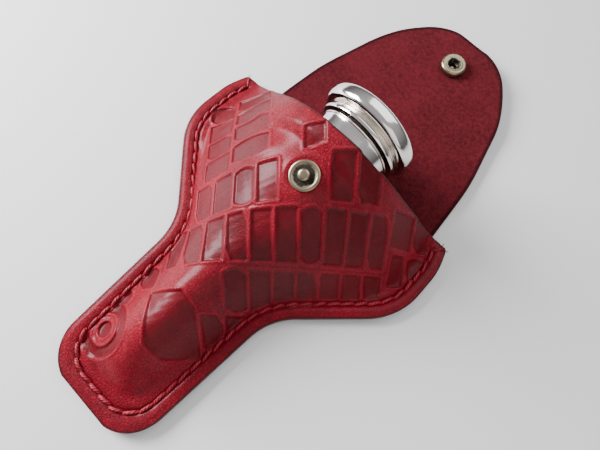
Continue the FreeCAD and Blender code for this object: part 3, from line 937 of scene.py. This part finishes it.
@dataclass
class FrontLeather:
    """Moulded front: bulged, blocked, creased along its seam, with a rounded cut edge."""

    columns: int = 290
    rows: int = 290
    inner_step: int = 5
    inset: float = 0.35
    crease: float = 0.75
    puff: float = 0.35

    def places(self) -> tuple:
        """Grid of places: along Y before the mouth's lean is taken off, and across from -1 to 1."""
        first = math.acos(1 - self.inset / TAIL_RADIUS)
        arc = TAIL_RADIUS * (1 - np.cos(np.linspace(first, math.pi / 2, 27)))
        end = MOUTH_Y - MOUTH_ROUND + MOUTH_ROUND * np.sin(np.linspace(0, math.pi / 2, 13))
        body = np.linspace(TAIL_RADIUS, end[0], self.rows + 3 - len(arc) - len(end))
        return np.concatenate([arc, body[1:-1], end]), np.linspace(-1, 1, self.columns + 1)

    def skin(self, y: np.ndarray, s: np.ndarray, wall: float, base: float) -> np.ndarray:
        """Points of one face.

        Args:
            y: nominal places along Y.
            s: places across from -1 to 1.
            wall: how much narrower the bulge is.
            base: height of the border.

        Returns:
            Rows by columns by 3.
        """
        yy = np.repeat(y[:, None], len(s), 1)
        pull = np.clip((yy - 55.0) / (MOUTH_Y - 55.0), 0, 1)**1.6
        limit = np.full(len(s), MOUTH_Y)
        for _ in range(24):
            x = s * (outline_half(limit) - self.inset)
            z = base - SEAM_TOP + bulge(x, limit, wall)
            limit = 0.5 * limit + 0.5 * np.minimum(MOUTH_Y, MOUTH_Y - z * math.tan(MOUTH_LEAN))
        yy = yy - pull * (MOUTH_Y - limit + self.inset)[None, :]
        x = s[None, :] * (outline_half(yy) - self.inset)
        return np.stack([x, yy, base + bulge(x, yy, wall)], -1)

    def build(self, materials: list) -> bpy.types.Object:
        """Build the whole front.

        Args:
            materials: grain, edge and suede.

        Returns:
            The object.
        """
        y, s = self.places()
        outer = self.skin(y, s, 0.0, SEAM_TOP)
        inner = self.skin(y, s, 1.9, 1.82)
        x, yy = outer[..., 0], outer[..., 1]
        line, length, count = stitch_line()
        edge_line = rounded_line(OUTLINE, 4.0)[:-1]
        both = np.concatenate([(edge_line * (-1, 1))[::-1], edge_line[1:]])
        away = distance_to_line(x, yy, both)
        off = distance_to_line(x, yy, line)
        holes = walk(line, np.linspace(0, length, count + 1))
        near = off < 3.0
        hole = np.full(x.shape, 9.0)
        hole[near] = np.min(np.hypot(x[near][:, None] - holes[:, 0], yy[near][:, None] - holes[:, 1]), 1)
        crease = np.exp(-(off / 0.85)**2)
        stop = 1 - smooth(MOUTH_Y - 5.0, MOUTH_Y - 3.0, yy)
        relief = -self.crease * crease * stop - 0.35 * np.exp(-(hole / 0.9)**2)
        relief += (self.puff * np.exp(-((away - 2.5) / 1.4)**2)
                   + 0.25 * np.exp(-((off - 2.4) / 1.1)**2) * (away > 5))
        height, pressed, raised = Blocking().read(x, yy)
        inside = smooth(5.9, 6.9, away)
        r = np.hypot(x - STUD_AT[0], (yy - STUD_AT[1]) / math.cos(STUD_TILT))
        inside = inside * smooth(5.6, 8.2, r)
        relief = relief + height * inside + 0.16 * waves(x, yy, 1.0, 17.0) * smooth(6.0, 14.0, away)
        relief += 0.22 * np.exp(-((r - 6.4) / 0.8)**2)
        z = outer[..., 2] + relief
        flat = STUD_AT[2] + math.tan(STUD_TILT) * (yy - STUD_AT[1]) - 0.03
        weight = 1 - smooth(5.0, 6.3, r)
        outer[..., 2] = z * (1 - weight) + flat * weight
        lip = MOUTH_Y - (outer[..., 2] - SEAM_TOP) * math.tan(MOUTH_LEAN) - yy
        edge = np.maximum(1 - smooth(0.0, 1.5, away), 0.8 * (1 - smooth(0.2, 1.6, lip)))
        # dark joins the pressed-in blocks with painted shade in the crease along the stitch line
        dark = np.maximum(pressed * inside, 0.4 * np.exp(-(off / 0.7)**2) * stop)
        # The raised mark also carries the painted highlight of the ridges to the grain material
        marks = {"edge": edge, "pressed": dark, "raised": raised * inside}
        maker = MeshMaker("front_leather")
        n = self.inner_step
        joined_skins(maker, {"grid": outer, "slot": 0, "flip": False, "marks": marks, "facing": inner},
                     {"grid": inner[::n, ::n], "slot": 2, "marks": {"edge": 0 * edge[::n, ::n]}}, n,
                     (self.inset, 0.2), 1)
        return maker.make(materials)


@dataclass
class LeatherSheet:
    """Flat leather with two faces: the back with the flap's first part, or the flap's end."""

    name: str
    start: float
    end: float
    rows: int
    columns: int
    step: int
    inset: float = 0.3

    @staticmethod
    def spine(along: np.ndarray) -> tuple:
        """Place and slope of the inner face's middle line.

        Args:
            along: distance along the leather, with the fold at FOLD_Y.

        Returns:
            Places along Y, heights and slopes.
        """
        fine = np.linspace(-1.0, 210.0, 8441)
        roll = FOLD_Y + ROLL_AT
        slope = (ROOT_TILT * smooth(FOLD_Y - 2.0, FOLD_Y + 2.0, fine)
                 + (TIP_TILT - ROOT_TILT) * smooth(roll - 6.0, roll + 6.0, fine))
        d = fine[1] - fine[0]
        y = np.concatenate([[0.0], np.cumsum(np.cos(slope[:-1]) * d)]) - 1.0
        z = np.concatenate([[0.0], np.cumsum(np.sin(slope[:-1]) * d)]) + LEATHER
        return np.interp(along, fine, y), np.interp(along, fine, z), np.interp(along, fine, slope)

    def places(self) -> np.ndarray:
        """Places along the leather, closer together where the outline turns."""
        parts = []
        if self.start <= 0:
            first = math.acos(1 - self.inset / TAIL_RADIUS)
            parts.append(TAIL_RADIUS * (1 - np.cos(np.linspace(first, math.pi / 2, 25)))[:-1])
            parts.append(np.linspace(TAIL_RADIUS, MOUTH_Y - MOUTH_ROUND, 140)[:-1])
            parts.append(MOUTH_Y - MOUTH_ROUND + MOUTH_ROUND * np.sin(np.linspace(0, math.pi / 2, 11)))
            parts.append(np.linspace(MOUTH_Y, MOUTH_Y + 0.7, 7)[1:])
            parts.append(np.linspace(MOUTH_Y + 0.7, 130.0, 16)[1:])
            left = self.rows + 1 - sum(map(len, parts))
            parts.append(np.linspace(130.0, self.end, left + 1)[1:])
        else:
            tip = self.end - self.inset
            arc = tip - 10.0 + 10.0 * np.sin(np.linspace(0, math.pi / 2, 31))
            parts.append(np.linspace(self.start, arc[0], self.rows + 1 - 30)[:-1])
            parts.append(arc)
        return np.concatenate(parts)

    def sides(self, along: np.ndarray) -> tuple:
        """Edges of the leather.

        Args:
            along: places along it.

        Returns:
            Left and right edge at each place.
        """
        pouch = outline_half(np.clip(along, 0, MOUTH_Y)) - self.inset
        flap = flap_half(along - FOLD_Y) - self.inset
        part = smooth(MOUTH_Y + 0.02, MOUTH_Y + 0.6, along)
        return -pouch * (1 - part) + (FLAP_X - flap) * part, pouch * (1 - part) + (FLAP_X + flap) * part

    def build(self, materials: list) -> bpy.types.Object:
        """Build the sheet.

        Args:
            materials: grain, edge and suede.

        Returns:
            The object.
        """
        along = self.places()
        s = np.linspace(0, 1, self.columns + 1)
        left, right = self.sides(along)
        x = left[:, None] + (right - left)[:, None] * s[None, :]
        aa = np.repeat(along[:, None], len(s), 1)
        y, z, slope = self.spine(aa)
        flap = smooth(FOLD_Y, FOLD_Y + 12.0, aa)
        ripple = flap * (0.22 * waves(x, aa, 2.0, 31.0) + 0.5 * ((x - FLAP_X) / 40.0)**4)
        from_snap = (x - SNAP_AT.x)**2 + (aa - FOLD_Y - ROLL_AT - SNAP_AT.y)**2
        ripple = ripple * (1 - np.exp(-from_snap / 9.0**2))
        groove = np.exp(-(distance_to_line(x, aa, stitch_line()[0]) / 0.75)**2)
        groove *= 1 - smooth(MOUTH_Y - SEAM_STOP, MOUTH_Y - SEAM_STOP + 1.0, aa)
        shape = rounded_line(OUTLINE, 4.0)[:-1]
        around = distance_to_line(x, aa, np.concatenate([(shape * (-1, 1))[::-1], shape[1:]]))
        tongue = rounded_line(FLAP_OUTLINE, 4.0) + (0, FOLD_Y)
        ends = distance_to_line(x - FLAP_X, aa, np.concatenate([tongue, (tongue * (-1, 1))[::-1][1:]]))
        edge = np.where(aa < FOLD_Y, around, ends)
        edge = 1 - smooth(0.3, 3.0, edge)
        top = np.stack([x, y - ripple * np.sin(slope), z + ripple * np.cos(slope)], -1)
        thick = LEATHER - ripple
        low = np.stack([x, y + thick * np.sin(slope), z - thick * np.cos(slope)], -1)
        low[..., 2] += groove * 0.9
        n = self.step
        maker = MeshMaker(self.name)
        # Half the stitch groove goes into the pressed mark as painted shade in the groove
        dark = {"edge": edge, "pressed": 0.5 * groove, "raised": 0 * edge}
        joined_skins(maker, {"grid": low, "slot": 0, "flip": True, "marks": dark, "facing": top},
                     {"grid": top[::n, ::n], "slot": 2, "marks": {"edge": edge[::n, ::n]}}, n,
                     (self.inset, 0.25), 1)
        made = maker.make(materials)
        self.crisp(made.data, self.end if self.start <= 0 else self.start)
        return made

    @staticmethod
    def crisp(mesh: bpy.types.Mesh, cut: float) -> None:
        """Mark the edges at the hidden joint sharp, so that the shading of the faces doesn't bend there.

        Args:
            mesh: the sheet's mesh.
            cut: place of the joint along Y, in millimetres.
        """
        places = np.empty(len(mesh.vertices) * 3)
        mesh.vertices.foreach_get("co", places)
        at_cut = np.abs(places.reshape(-1, 3)[:, 1] / MM - cut) < 0.06
        pairs = np.empty(len(mesh.edges) * 2, int)
        mesh.edges.foreach_get("vertices", pairs)
        sharp = at_cut[pairs.reshape(-1, 2)].all(1)
        layer = mesh.attributes.get("sharp_edge") or mesh.attributes.new("sharp_edge", "BOOLEAN", "EDGE")
        layer.data.foreach_set("value", sharp)


# ---------------------------------------------------------------- seam and thread

@dataclass
class SeamThread:
    """Hand stitches along one side of the seam, on the front and on the back."""

    side: int
    length: float = 4.7
    radius: float = 0.6
    back_radius: float = 0.45
    sunk: float = 0.32
    back_height: float = 0.56
    arch: float = 0.55
    back_arch: float = 0.04
    dip: float = 1.1
    back_dip: float = 0.4
    seed: int = 7

    def path(self, up: int) -> bpy.types.Object:
        """Chain of points along the stitch middles of one face, for the stitches to follow.

        Args:
            up: 1 for the front, -1 for the back.

        Returns:
            An object with edges only.
        """
        line, length, count = stitch_line()
        pitch = length / count
        middles = walk(line, (np.arange(count) + 0.5) * pitch)
        mine = [k for k in range(count) if (middles[k, 0] > 0) == (self.side > 0)]
        fine = np.linspace((mine[0] + 0.5) * pitch, (mine[-1] + 0.5) * pitch, 16 * len(mine))
        places = walk(line, fine)
        height = SEAM_TOP - self.sunk if up > 0 else self.back_height
        points = np.column_stack([places, np.full(len(places), height)]) * MM
        mesh = bpy.data.meshes.new("stitch_path")
        mesh.from_pydata(points.tolist(), [(k, k + 1) for k in range(len(points) - 1)], [])
        made = bpy.data.objects.new("stitch_path", mesh)
        bpy.context.scene.collection.objects.link(made)
        made["stitches"] = len(mine)
        return made

    @staticmethod
    def tree() -> bpy.types.NodeTree:
        """Geometry tree that lays an arched round stitch at even places along a path."""
        name = "stitch_along_path"
        if name in bpy.data.node_groups:
            return bpy.data.node_groups[name]
        tree = bpy.data.node_groups.new(name, "GeometryNodeTree")
        face = tree.interface
        face.new_socket("Path", in_out="INPUT", socket_type="NodeSocketGeometry")
        for label, kind in (("Count", "NodeSocketInt"), ("Length", "NodeSocketFloat"),
                            ("Radius", "NodeSocketFloat"), ("Arch", "NodeSocketFloat"),
                            ("Dip", "NodeSocketFloat"), ("Up", "NodeSocketVector"),
                            ("Seed", "NodeSocketInt"), ("Thread", "NodeSocketMaterial")):
            face.new_socket(label, in_out="INPUT", socket_type=kind)
        face.new_socket("Stitches", in_out="OUTPUT", socket_type="NodeSocketGeometry")
        kit = NodeKit(tree)
        given = kit.add("NodeGroupInput").outputs
        run = kit.add("GeometryNodeMeshToCurve", {"Mesh": given["Path"]}).outputs[0]
        spaced = kit.add("GeometryNodeResampleCurve", {"Curve": run, "Count": given["Count"]},
                         mode="COUNT").outputs[0]
        half = kit.sum("MULTIPLY", given["Length"], 0.5)
        start, end, grip_start, grip_end = [
            kit.add("ShaderNodeCombineXYZ", {0: kit.sum("MULTIPLY", half, part),
                                             2: kit.sum("MULTIPLY", given[size], rise)}).outputs[0]
            for part, size, rise in ((-1.0, "Dip", -1.0), (1.0, "Dip", -1.0),
                                     (-0.86, "Arch", 1.9), (0.86, "Arch", 1.9))]
        bow = kit.add("GeometryNodeCurvePrimitiveBezierSegment",
                      {"Resolution": 14, "Start": start, "Start Handle": grip_start, "End Handle": grip_end,
                       "End": end}, mode="POSITION").outputs[0]
        along = kit.add("GeometryNodeSplineParameter").outputs["Length"]
        bow = kit.add("GeometryNodeStoreNamedAttribute",
                      {"Geometry": bow, "Name": "along", "Value": along},
                      data_type="FLOAT", domain="POINT").outputs[0]
        ring = kit.add("GeometryNodeCurvePrimitiveCircle",
                       {"Resolution": 10, "Radius": given["Radius"]}).outputs["Curve"]
        turn = kit.sum("MULTIPLY", kit.add("GeometryNodeSplineParameter").outputs["Factor"], 2 * math.pi)
        ring = kit.add("GeometryNodeStoreNamedAttribute",
                       {"Geometry": ring, "Name": "round_at", "Value": turn},
                       data_type="FLOAT", domain="POINT").outputs[0]
        stitch = kit.add("GeometryNodeCurveToMesh",
                         {"Curve": bow, "Profile Curve": ring, "Fill Caps": True}).outputs[0]
        tangent = kit.add("GeometryNodeInputTangent").outputs[0]
        aim = kit.add("FunctionNodeAlignRotationToVector", {"Vector": tangent}, axis="X").outputs[0]
        aim = kit.add("FunctionNodeAlignRotationToVector", {"Rotation": aim, "Vector": given["Up"]},
                      axis="Z", pivot_axis="X").outputs[0]
        sway = kit.add("FunctionNodeRandomValue",
                       {"Min": (-0.06, -0.05, 0.06), "Max": (0.06, 0.05, 0.24), "Seed": given["Seed"]},
                       data_type="FLOAT_VECTOR").outputs[0]
        sway = kit.add("FunctionNodeEulerToRotation", {0: sway}).outputs[0]
        aim = kit.add("FunctionNodeRotateRotation", {0: aim, 1: sway}, rotation_space="LOCAL").outputs[0]
        size = kit.add("FunctionNodeRandomValue",
                       {"Min": (0.96, 0.93, 0.9), "Max": (1.03, 1.07, 1.1), "Seed": given["Seed"]},
                       data_type="FLOAT_VECTOR").outputs[0]
        placed = kit.add("GeometryNodeInstanceOnPoints",
                         {"Points": spaced, "Instance": stitch, "Rotation": aim, "Scale": size}).outputs[0]
        real = kit.add("GeometryNodeRealizeInstances", {"Geometry": placed}).outputs[0]
        smooth_faces = kit.add("GeometryNodeSetShadeSmooth", {"Geometry": real}).outputs[0]
        dyed = kit.add("GeometryNodeSetMaterial",
                       {"Geometry": smooth_faces, "Material": given["Thread"]}).outputs[0]
        kit.add("NodeGroupOutput", {"Stitches": dyed})
        return tree

    def run(self, up: int, material: bpy.types.Material) -> bpy.types.Object:
        """Stitches on one face, as a plain mesh.

        Args:
            up: 1 for the front, -1 for the back.
            material: the thread's finish.

        Returns:
            The object.
        """
        path = self.path(up)
        maker = path.modifiers.new("stitches", "NODES")
        maker.node_group = self.tree()
        values = {"Count": path["stitches"], "Length": self.length * MM,
                  "Radius": (self.radius if up > 0 else self.back_radius) * MM,
                  "Arch": (self.arch if up > 0 else self.back_arch) * MM,
                  "Dip": (self.dip if up > 0 else self.back_dip) * MM,
                  "Up": (0.0, 0.0, float(up)), "Seed": self.seed + up, "Thread": material}
        for item in maker.node_group.interface.items_tree:
            if item.in_out == "INPUT" and item.name in values:
                maker[item.identifier] = values[item.name]
        scene = bpy.context.evaluated_depsgraph_get()
        mesh = bpy.data.meshes.new_from_object(path.evaluated_get(scene))
        path.modifiers.remove(maker)
        name = f"stitches_{'right' if self.side > 0 else 'left'}_{'front' if up > 0 else 'back'}"
        mesh.name = name
        mesh.materials.clear()
        mesh.materials.append(material)
        mesh.polygons.foreach_set("material_index", [0] * len(mesh.polygons))
        outwards(mesh)
        made = bpy.data.objects.new(name, mesh)
        bpy.context.scene.collection.objects.link(made)
        bpy.data.objects.remove(path)
        return made

    def build(self, material: bpy.types.Material) -> list:
        """Build both faces of this side."""
        return [self.run(1, material), self.run(-1, material)]


@dataclass
class ThreadEnds:
    """Cut thread ends at both mouth corners, the right one frayed into its fibres."""

    length: float = 5.2
    radius: float = 0.34
    seed: int = 5

    @staticmethod
    def strand(maker: MeshMaker, spots: np.ndarray, radii: np.ndarray, sides: int) -> None:
        """Add one closed round strand through points.

        Args:
            maker: mesh being built.
            spots: points along the strand.
            radii: radius at each point.
            sides: number of points round it.
        """
        tangents = np.gradient(spots, axis=0)
        tangents /= np.linalg.norm(tangents, axis=1, keepdims=True)
        across = np.cross(tangents, (0.0, 0.0, 1.0))
        across /= np.linalg.norm(across, axis=1, keepdims=True)
        over = np.cross(across, tangents)
        angle = np.linspace(0, 2 * math.pi, sides, endpoint=False)
        run = np.concatenate([[0.0], np.cumsum(np.linalg.norm(np.diff(spots, axis=0), axis=1))]) * MM
        rings = []
        for k, spot in enumerate(spots):
            ring = spot + radii[k] * (np.cos(angle)[:, None] * across[k] + np.sin(angle)[:, None] * over[k])
            start = maker.add_points(ring, along=np.full(sides, run[k]), round_at=angle)
            rings.append(list(range(start, start + sides)))
        for a, b in zip(rings, rings[1:]):
            maker.add_faces([[a[i], b[i], b[(i + 1) % sides], a[(i + 1) % sides]] for i in range(sides)])
        maker.add_faces([rings[0], rings[-1][::-1]])

    def build(self, material: bpy.types.Material) -> bpy.types.Object:
        """Build both ends."""
        chance = np.random.default_rng(self.seed)
        line = stitch_line()[0]
        maker = MeshMaker("thread_fray")
        for end, side in ((line[0], 1), (line[-1], -1)):
            way = np.array([side * 0.62, 0.79, 0.0])
            way /= np.linalg.norm(way)
            root = np.array([end[0], end[1], 3.2])
            t = np.linspace(0, 1, 9)[:, None]
            stem = root + way * (self.length * 0.62) * t + np.array([0, 0, 1.0]) * (0.85 * np.sin(t * 1.9))
            self.strand(maker, stem, self.radius * (1 + 0.12 * t[:, 0]), 12)
            for _ in range(11 if side > 0 else 4):
                spread = way + chance.normal(0, 0.42 if side > 0 else 0.2, 3) * (1, 1, 0.55)
                spread /= np.linalg.norm(spread)
                spread[2] = abs(spread[2]) * 0.7 + 0.08
                reach = self.length * chance.uniform(0.32, 0.6)
                curl = np.cross(spread, (0, 0, 1.0)) * chance.normal(0, 0.5)
                fibre = stem[-2] + spread * reach * t + curl * t**2
                self.strand(maker, fibre, self.radius * (0.42 - 0.3 * t[:, 0]), 6)
        return maker.make([material], recalc=True)


# ---------------------------------------------------------------- metal pieces

@dataclass
class Turned:
    """One turned metal piece: its outline from a lathe, and where it sits."""

    name: str
    profile: list
    place: Matrix
    segments: int = 96
    hollows: tuple = ()

    def build(self, material: bpy.types.Material) -> bpy.types.Object:
        """Build the piece, with its hollows marked for darkening."""
        maker = MeshMaker(self.name)
        maker.add_turned(self.profile, self.segments)
        points = np.concatenate(maker.points)
        r, h = np.hypot(points[:, 0], points[:, 1]), points[:, 2]
        mark = np.zeros(len(points))
        for radius, height, reach in self.hollows:
            mark = np.maximum(mark, np.exp(-((r - radius)**2 + (h - height)**2) / reach**2))
        sizes = [len(p) for p in maker.points]
        maker.marks["hollow"] = np.split(mark, np.cumsum(sizes)[:-1])
        return maker.make([material], self.place, recalc=True)


@dataclass
class Snap:
    """Press snap: the stud on the front, and the socket and cap on the flap's end."""

    segments: int = 72
    beads: int = 16
    bead_ring: float = 4.8
    bead_height: float = 2.7

    def stud(self) -> Turned:
        """Stud: rolled ring, dark sunk web and a ball."""
        ring = [(3.3, 0.3), (3.6, 0.0), (4.5, 0.0), (4.9, 0.35), (4.82, 0.72), (4.3, 0.87), (3.75, 0.75),
                (3.42, 0.56), (2.7, 0.5)]
        ball = [(2.05, 0.58), (1.62, 1.0), (1.72, 1.35), (1.9, 1.65), (1.72, 2.08), (1.2, 2.35), (0.6, 2.4),
                (0.0, 2.4)]
        return Turned("stud", [(0.0, 0.3), *soften([*ring, *ball], 4)], STUD, self.segments,
                      ((2.7, 0.5, 1.15), (2.2, 0.6, 0.9), (1.55, 1.0, 0.8)))

    def socket(self) -> Turned:
        """Socket: rolled ring round a bore that opens into the spring's room."""
        ring = [(4.9, 0.0), (5.35, 0.45), (5.4, 1.1), (5.4, 1.8), (5.15, 2.45), (4.6, 2.86), (3.9, 2.84),
                (3.3, 2.7), (2.6, 2.62), (2.3, 2.45), (2.25, 2.22)]
        profile = [(1.58, 0.0), *soften(ring, 4), (3.6, 2.18), (3.6, 0.92), (1.58, 0.9)]
        # The bore and spring-room marks paint shade into the hole; the lip and foot marks are patina
        return Turned("socket", profile, TIP @ Matrix.Translation(SNAP_AT), self.segments,
                      ((3.6, 1.5, 1.4), (2.2, 1.0, 2.0), (2.5, 2.3, 0.7), (5.4, 0.3, 0.6)))

    def cap(self) -> Turned:
        """Cap: low dome on the flap's outer face, and its post."""
        dome = [(1.2, -3.2), (2.4, -3.18), (4.0, -2.98), (5.1, -2.62), (5.8, -2.3), (5.98, -2.05),
                (5.7, -1.82)]
        profile = [(0.0, -3.2), *soften(dome, 4), (1.5, -1.82), (1.5, 0.35), (0.0, 0.35)]
        return Turned("cap", profile, TIP @ Matrix.Translation(SNAP_AT), self.segments, ((6.0, -1.9, 0.5),))

    def marks(self, material: bpy.types.Material) -> bpy.types.Object:
        """Small raised dots round the socket's ring.

        Args:
            material: the snap's finish.

        Returns:
            The object.
        """
        maker = MeshMaker("socket_beads")
        bead = MeshMaker("bead")
        bead.add_turned([(0.0, -0.12), (0.19, -0.1), (0.24, 0.05), (0.13, 0.16), (0.0, 0.19)], 10)
        shape = np.concatenate(bead.points)
        for k in range(self.beads):
            angle = 2 * math.pi * k / self.beads
            spot = (self.bead_ring * math.cos(angle), self.bead_ring * math.sin(angle), self.bead_height)
            start = maker.add_points(shape + spot)
            maker.add_faces([[i + start for i in face] for face in bead.faces])
        return maker.make([material], TIP @ Matrix.Translation(SNAP_AT), recalc=True)


@dataclass
class Mouthpiece:
    """Polished mouthpiece: broad rim, groove, bead, cup and a tapered shank, bored through."""

    face: tuple = (4.8, 131.0, 24.163)
    tilt: float = 9.0
    turn: float = 2.6
    segments: int = 160

    def place(self) -> Matrix:
        """Where it sits when it is pulled out."""
        return (Matrix.Translation(self.face) @ Matrix.Rotation(math.radians(-self.turn), 4, "Z")
                @ Matrix.Rotation(math.radians(-90 + self.tilt), 4, "X"))

    def piece(self) -> Turned:
        """Its outline, from the rim's face to the shank and back through the bore."""
        rim = [(14.2, 0.0), (15.8, 0.0), (17.5, 0.6), (18.75, 1.8), (19.08, 3.6), (18.95, 5.2), (18.3, 6.3),
               (17.1, 6.75)]
        groove = [(15.7, 7.0), (15.2, 7.4), (15.2, 7.9)]
        bead = [(15.9, 8.25), (16.45, 8.75), (16.5, 9.25), (16.25, 9.95), (15.5, 10.35)]
        cup = [(14.95, 10.7), (14.9, 11.2), (14.5, 12.2), (13.8, 20.0), (12.4, 26.0), (10.4, 31.0),
               (8.1, 36.0), (6.9, 41.0), (6.3, 46.0)]
        shank_end = [(5.7, 81.0), (4.6, 81.0)]
        bore = [(3.2, 27.0), (3.2, 21.0), (5.0, 19.0), (8.4, 15.1), (11.0, 8.4), (12.4, 2.5), (12.9, 0.7)]
        whole = (soften([*rim, *groove], 6)[:-1] + soften([groove[-1], *bead], 5)[:-1]
                 + soften([bead[-1], *cup], 5) + shank_end + soften(bore, 5))
        profile = [(r, -d) for r, d in whole]
        return Turned("mouthpiece_plate", profile, self.place(), self.segments,
                      ((15.2, -7.5, 1.1), (15.0, -10.8, 0.7), (3.2, -24.0, 6.0)))


# ---------------------------------------------------------------- stage

@dataclass
class Studio:
    """Pale floor, soft lights and the camera."""

    eye: tuple = (35.1, 52.8, 144.9)
    right: tuple = (0.7156, 0.69654, 0.05239)
    up: tuple = (-0.67442, 0.66945, 0.31144)
    forward: tuple = (-0.18187, 0.25820, -0.94882)
    lens: float = 24.0
    floor_half: float = 4000.0
    floor_height: float = -0.05

    def camera(self) -> None:
        """Place the camera."""
        data = bpy.data.cameras.new("camera")
        data.lens = self.lens
        data.sensor_width = 36.0
        data.clip_start = 0.002
        made = bpy.data.objects.new("camera", data)
        bpy.context.scene.collection.objects.link(made)
        back = tuple(-c for c in self.forward)
        rows = [[self.right[k], self.up[k], back[k], self.eye[k] * MM] for k in range(3)]
        made.matrix_world = Matrix([*rows, [0, 0, 0, 1]])
        bpy.context.scene.camera = made

    def lamp(self, name: str, spot: tuple, aim: tuple, size: float, power: float, colour: tuple) -> None:
        """Add one soft area light.

        Args:
            name: its name.
            spot: where it hangs, in metres.
            aim: what it points at, in metres.
            size: side of the light in metres.
            power: watts.
            colour: its tint.
        """
        data = bpy.data.lights.new(name, "AREA")
        data.size = size
        data.energy = power
        data.color = colour
        made = bpy.data.objects.new(name, data)
        bpy.context.scene.collection.objects.link(made)
        made.location = spot
        made.rotation_euler = (Vector(aim) - Vector(spot)).to_track_quat("-Z", "Y").to_euler()

    def floor(self) -> None:
        """Plain pale floor just under the object."""
        maker = MeshMaker("floor")
        corners = [(-1, -1), (1, -1), (1, 1), (-1, 1)]
        maker.add_points(np.array([(x * self.floor_half, y * self.floor_half, self.floor_height)
                                   for x, y in corners]))
        maker.add_faces([[0, 1, 2, 3]])
        floor = maker.make([Finish("pale_floor", (0.8, 0.8, 0.79), 0.7).start()[0]])

    def build(self) -> None:
        """Build the whole stage."""
        self.floor()
        self.camera()
        self.lamp("key", (-0.46, -0.02, 0.26), (0.0, 0.08, 0.02), 0.26, 9.0, (0.98, 0.94, 1.0))
        self.lamp("sky", (0.05, 0.5, 0.62), (0.0, 0.09, 0.0), 0.7, 3.0, (0.95, 0.97, 1.0))
        self.lamp("fill", (0.5, -0.25, 0.35), (0.0, 0.09, 0.0), 0.6, 1.2, (1.0, 0.96, 0.94))
        world = bpy.data.worlds.new("room")
        world.use_nodes = True
        kit = NodeKit(world.node_tree)
        sky_place = kit.add("ShaderNodeTexCoord").outputs["Generated"]
        aim = kit.add("ShaderNodeSeparateXYZ", {0: sky_place}).outputs
        tall = kit.ramp(aim["Z"], -0.1, 0.9)
        shade = kit.mix(tall, (0.16, 0.15, 0.15, 1.0), (0.95, 0.96, 1.0, 1.0))
        room = world.node_tree.nodes["Background"]
        kit.feed(room.inputs["Color"], shade)
        room.inputs["Strength"].default_value = 0.45
        bpy.context.scene.world = world


# ---------------------------------------------------------------- everything in order

@dataclass
class Pouch:
    """The whole object: builds each piece, gives it its body, and hides the solids that it stands for."""

    finishes: dict = field(default_factory=dict)

    def dress(self) -> None:
        """Make the finishes, and give them to the metal solids that stay."""
        for key, finish in (("grain", GRAIN), ("suede", SUEDE), ("edge", EDGE), ("thread", THREAD),
                            ("brass", BRASS), ("silver", SILVER), ("wire", WIRE)):
            self.finishes[key] = finish.make()
        for node, key in (("snap_stud_post", "brass"), ("snap_socket_spring", "wire")):
            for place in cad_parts[node].material_slots:
                place.material = self.finishes[key]

    def put(self, piece: bpy.types.Object, body: str, slot: str, *nodes: str) -> None:
        """Let a piece ride on a body.

        Args:
            piece: the piece.
            body: name of the body.
            slot: name of its material slot; not used.
            nodes: the solids that it replaces.
        """
        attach(piece, body)
        if nodes:
            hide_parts(*nodes)
        log.info("%s rides on %s: %d faces", piece.name, body, len(piece.data.polygons))

    def leather(self) -> None:
        """Front, back and flap."""
        skins = [self.finishes["grain"], self.finishes["edge"], self.finishes["suede"]]
        self.put(FrontLeather().build(skins), "pouch", "leather_front", "front_panel")
        back = LeatherSheet("back_leather", 0.0, SHEET_JOINT, 220, 200, 2).build(skins)
        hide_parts("back_panel", "flap_root")
        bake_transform(back)
        tip = LeatherSheet("flap_leather", SHEET_JOINT, FOLD_Y + FLAP_LENGTH, 130, 160, 2).build(skins)
        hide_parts("flap_tip")
        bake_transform(tip)
        log.info("back and flap bend at the fold and at the roll")

    def sewing(self) -> None:
        """Stitches and thread ends."""
        thread = self.finishes["thread"]
        for side, node in ((1, "seam_thread_right"), (-1, "seam_thread_left")):
            for run in SeamThread(side).build(thread):
                self.put(run, "pouch", "thread", node)
        self.put(ThreadEnds().build(thread), "pouch", "thread", "thread_ends")

    def metal(self) -> None:
        """Snap and mouthpiece."""
        brass, snap = self.finishes["brass"], Snap()
        self.put(snap.stud().build(brass), "pouch", "snap_metal", "snap_stud")
        self.put(snap.socket().build(brass), "flap_tip", "snap_metal", "snap_socket")
        self.put(snap.marks(brass), "flap_tip", "snap_metal", "snap_socket")
        self.put(snap.cap().build(brass), "flap_tip", "snap_metal", "snap_cap")
        silver = Mouthpiece().piece().build(self.finishes["silver"])
        self.put(silver, "mouthpiece", "silver_plate", "mouthpiece")


def main() -> None:
    """Build the object and its stage."""
    logging.basicConfig(level=logging.INFO, format="%(message)s")
    pouch = Pouch()
    pouch.dress()
    pouch.leather()
    pouch.sewing()
    pouch.metal()
    Studio().build()


if __name__ == "__main__":
    main()
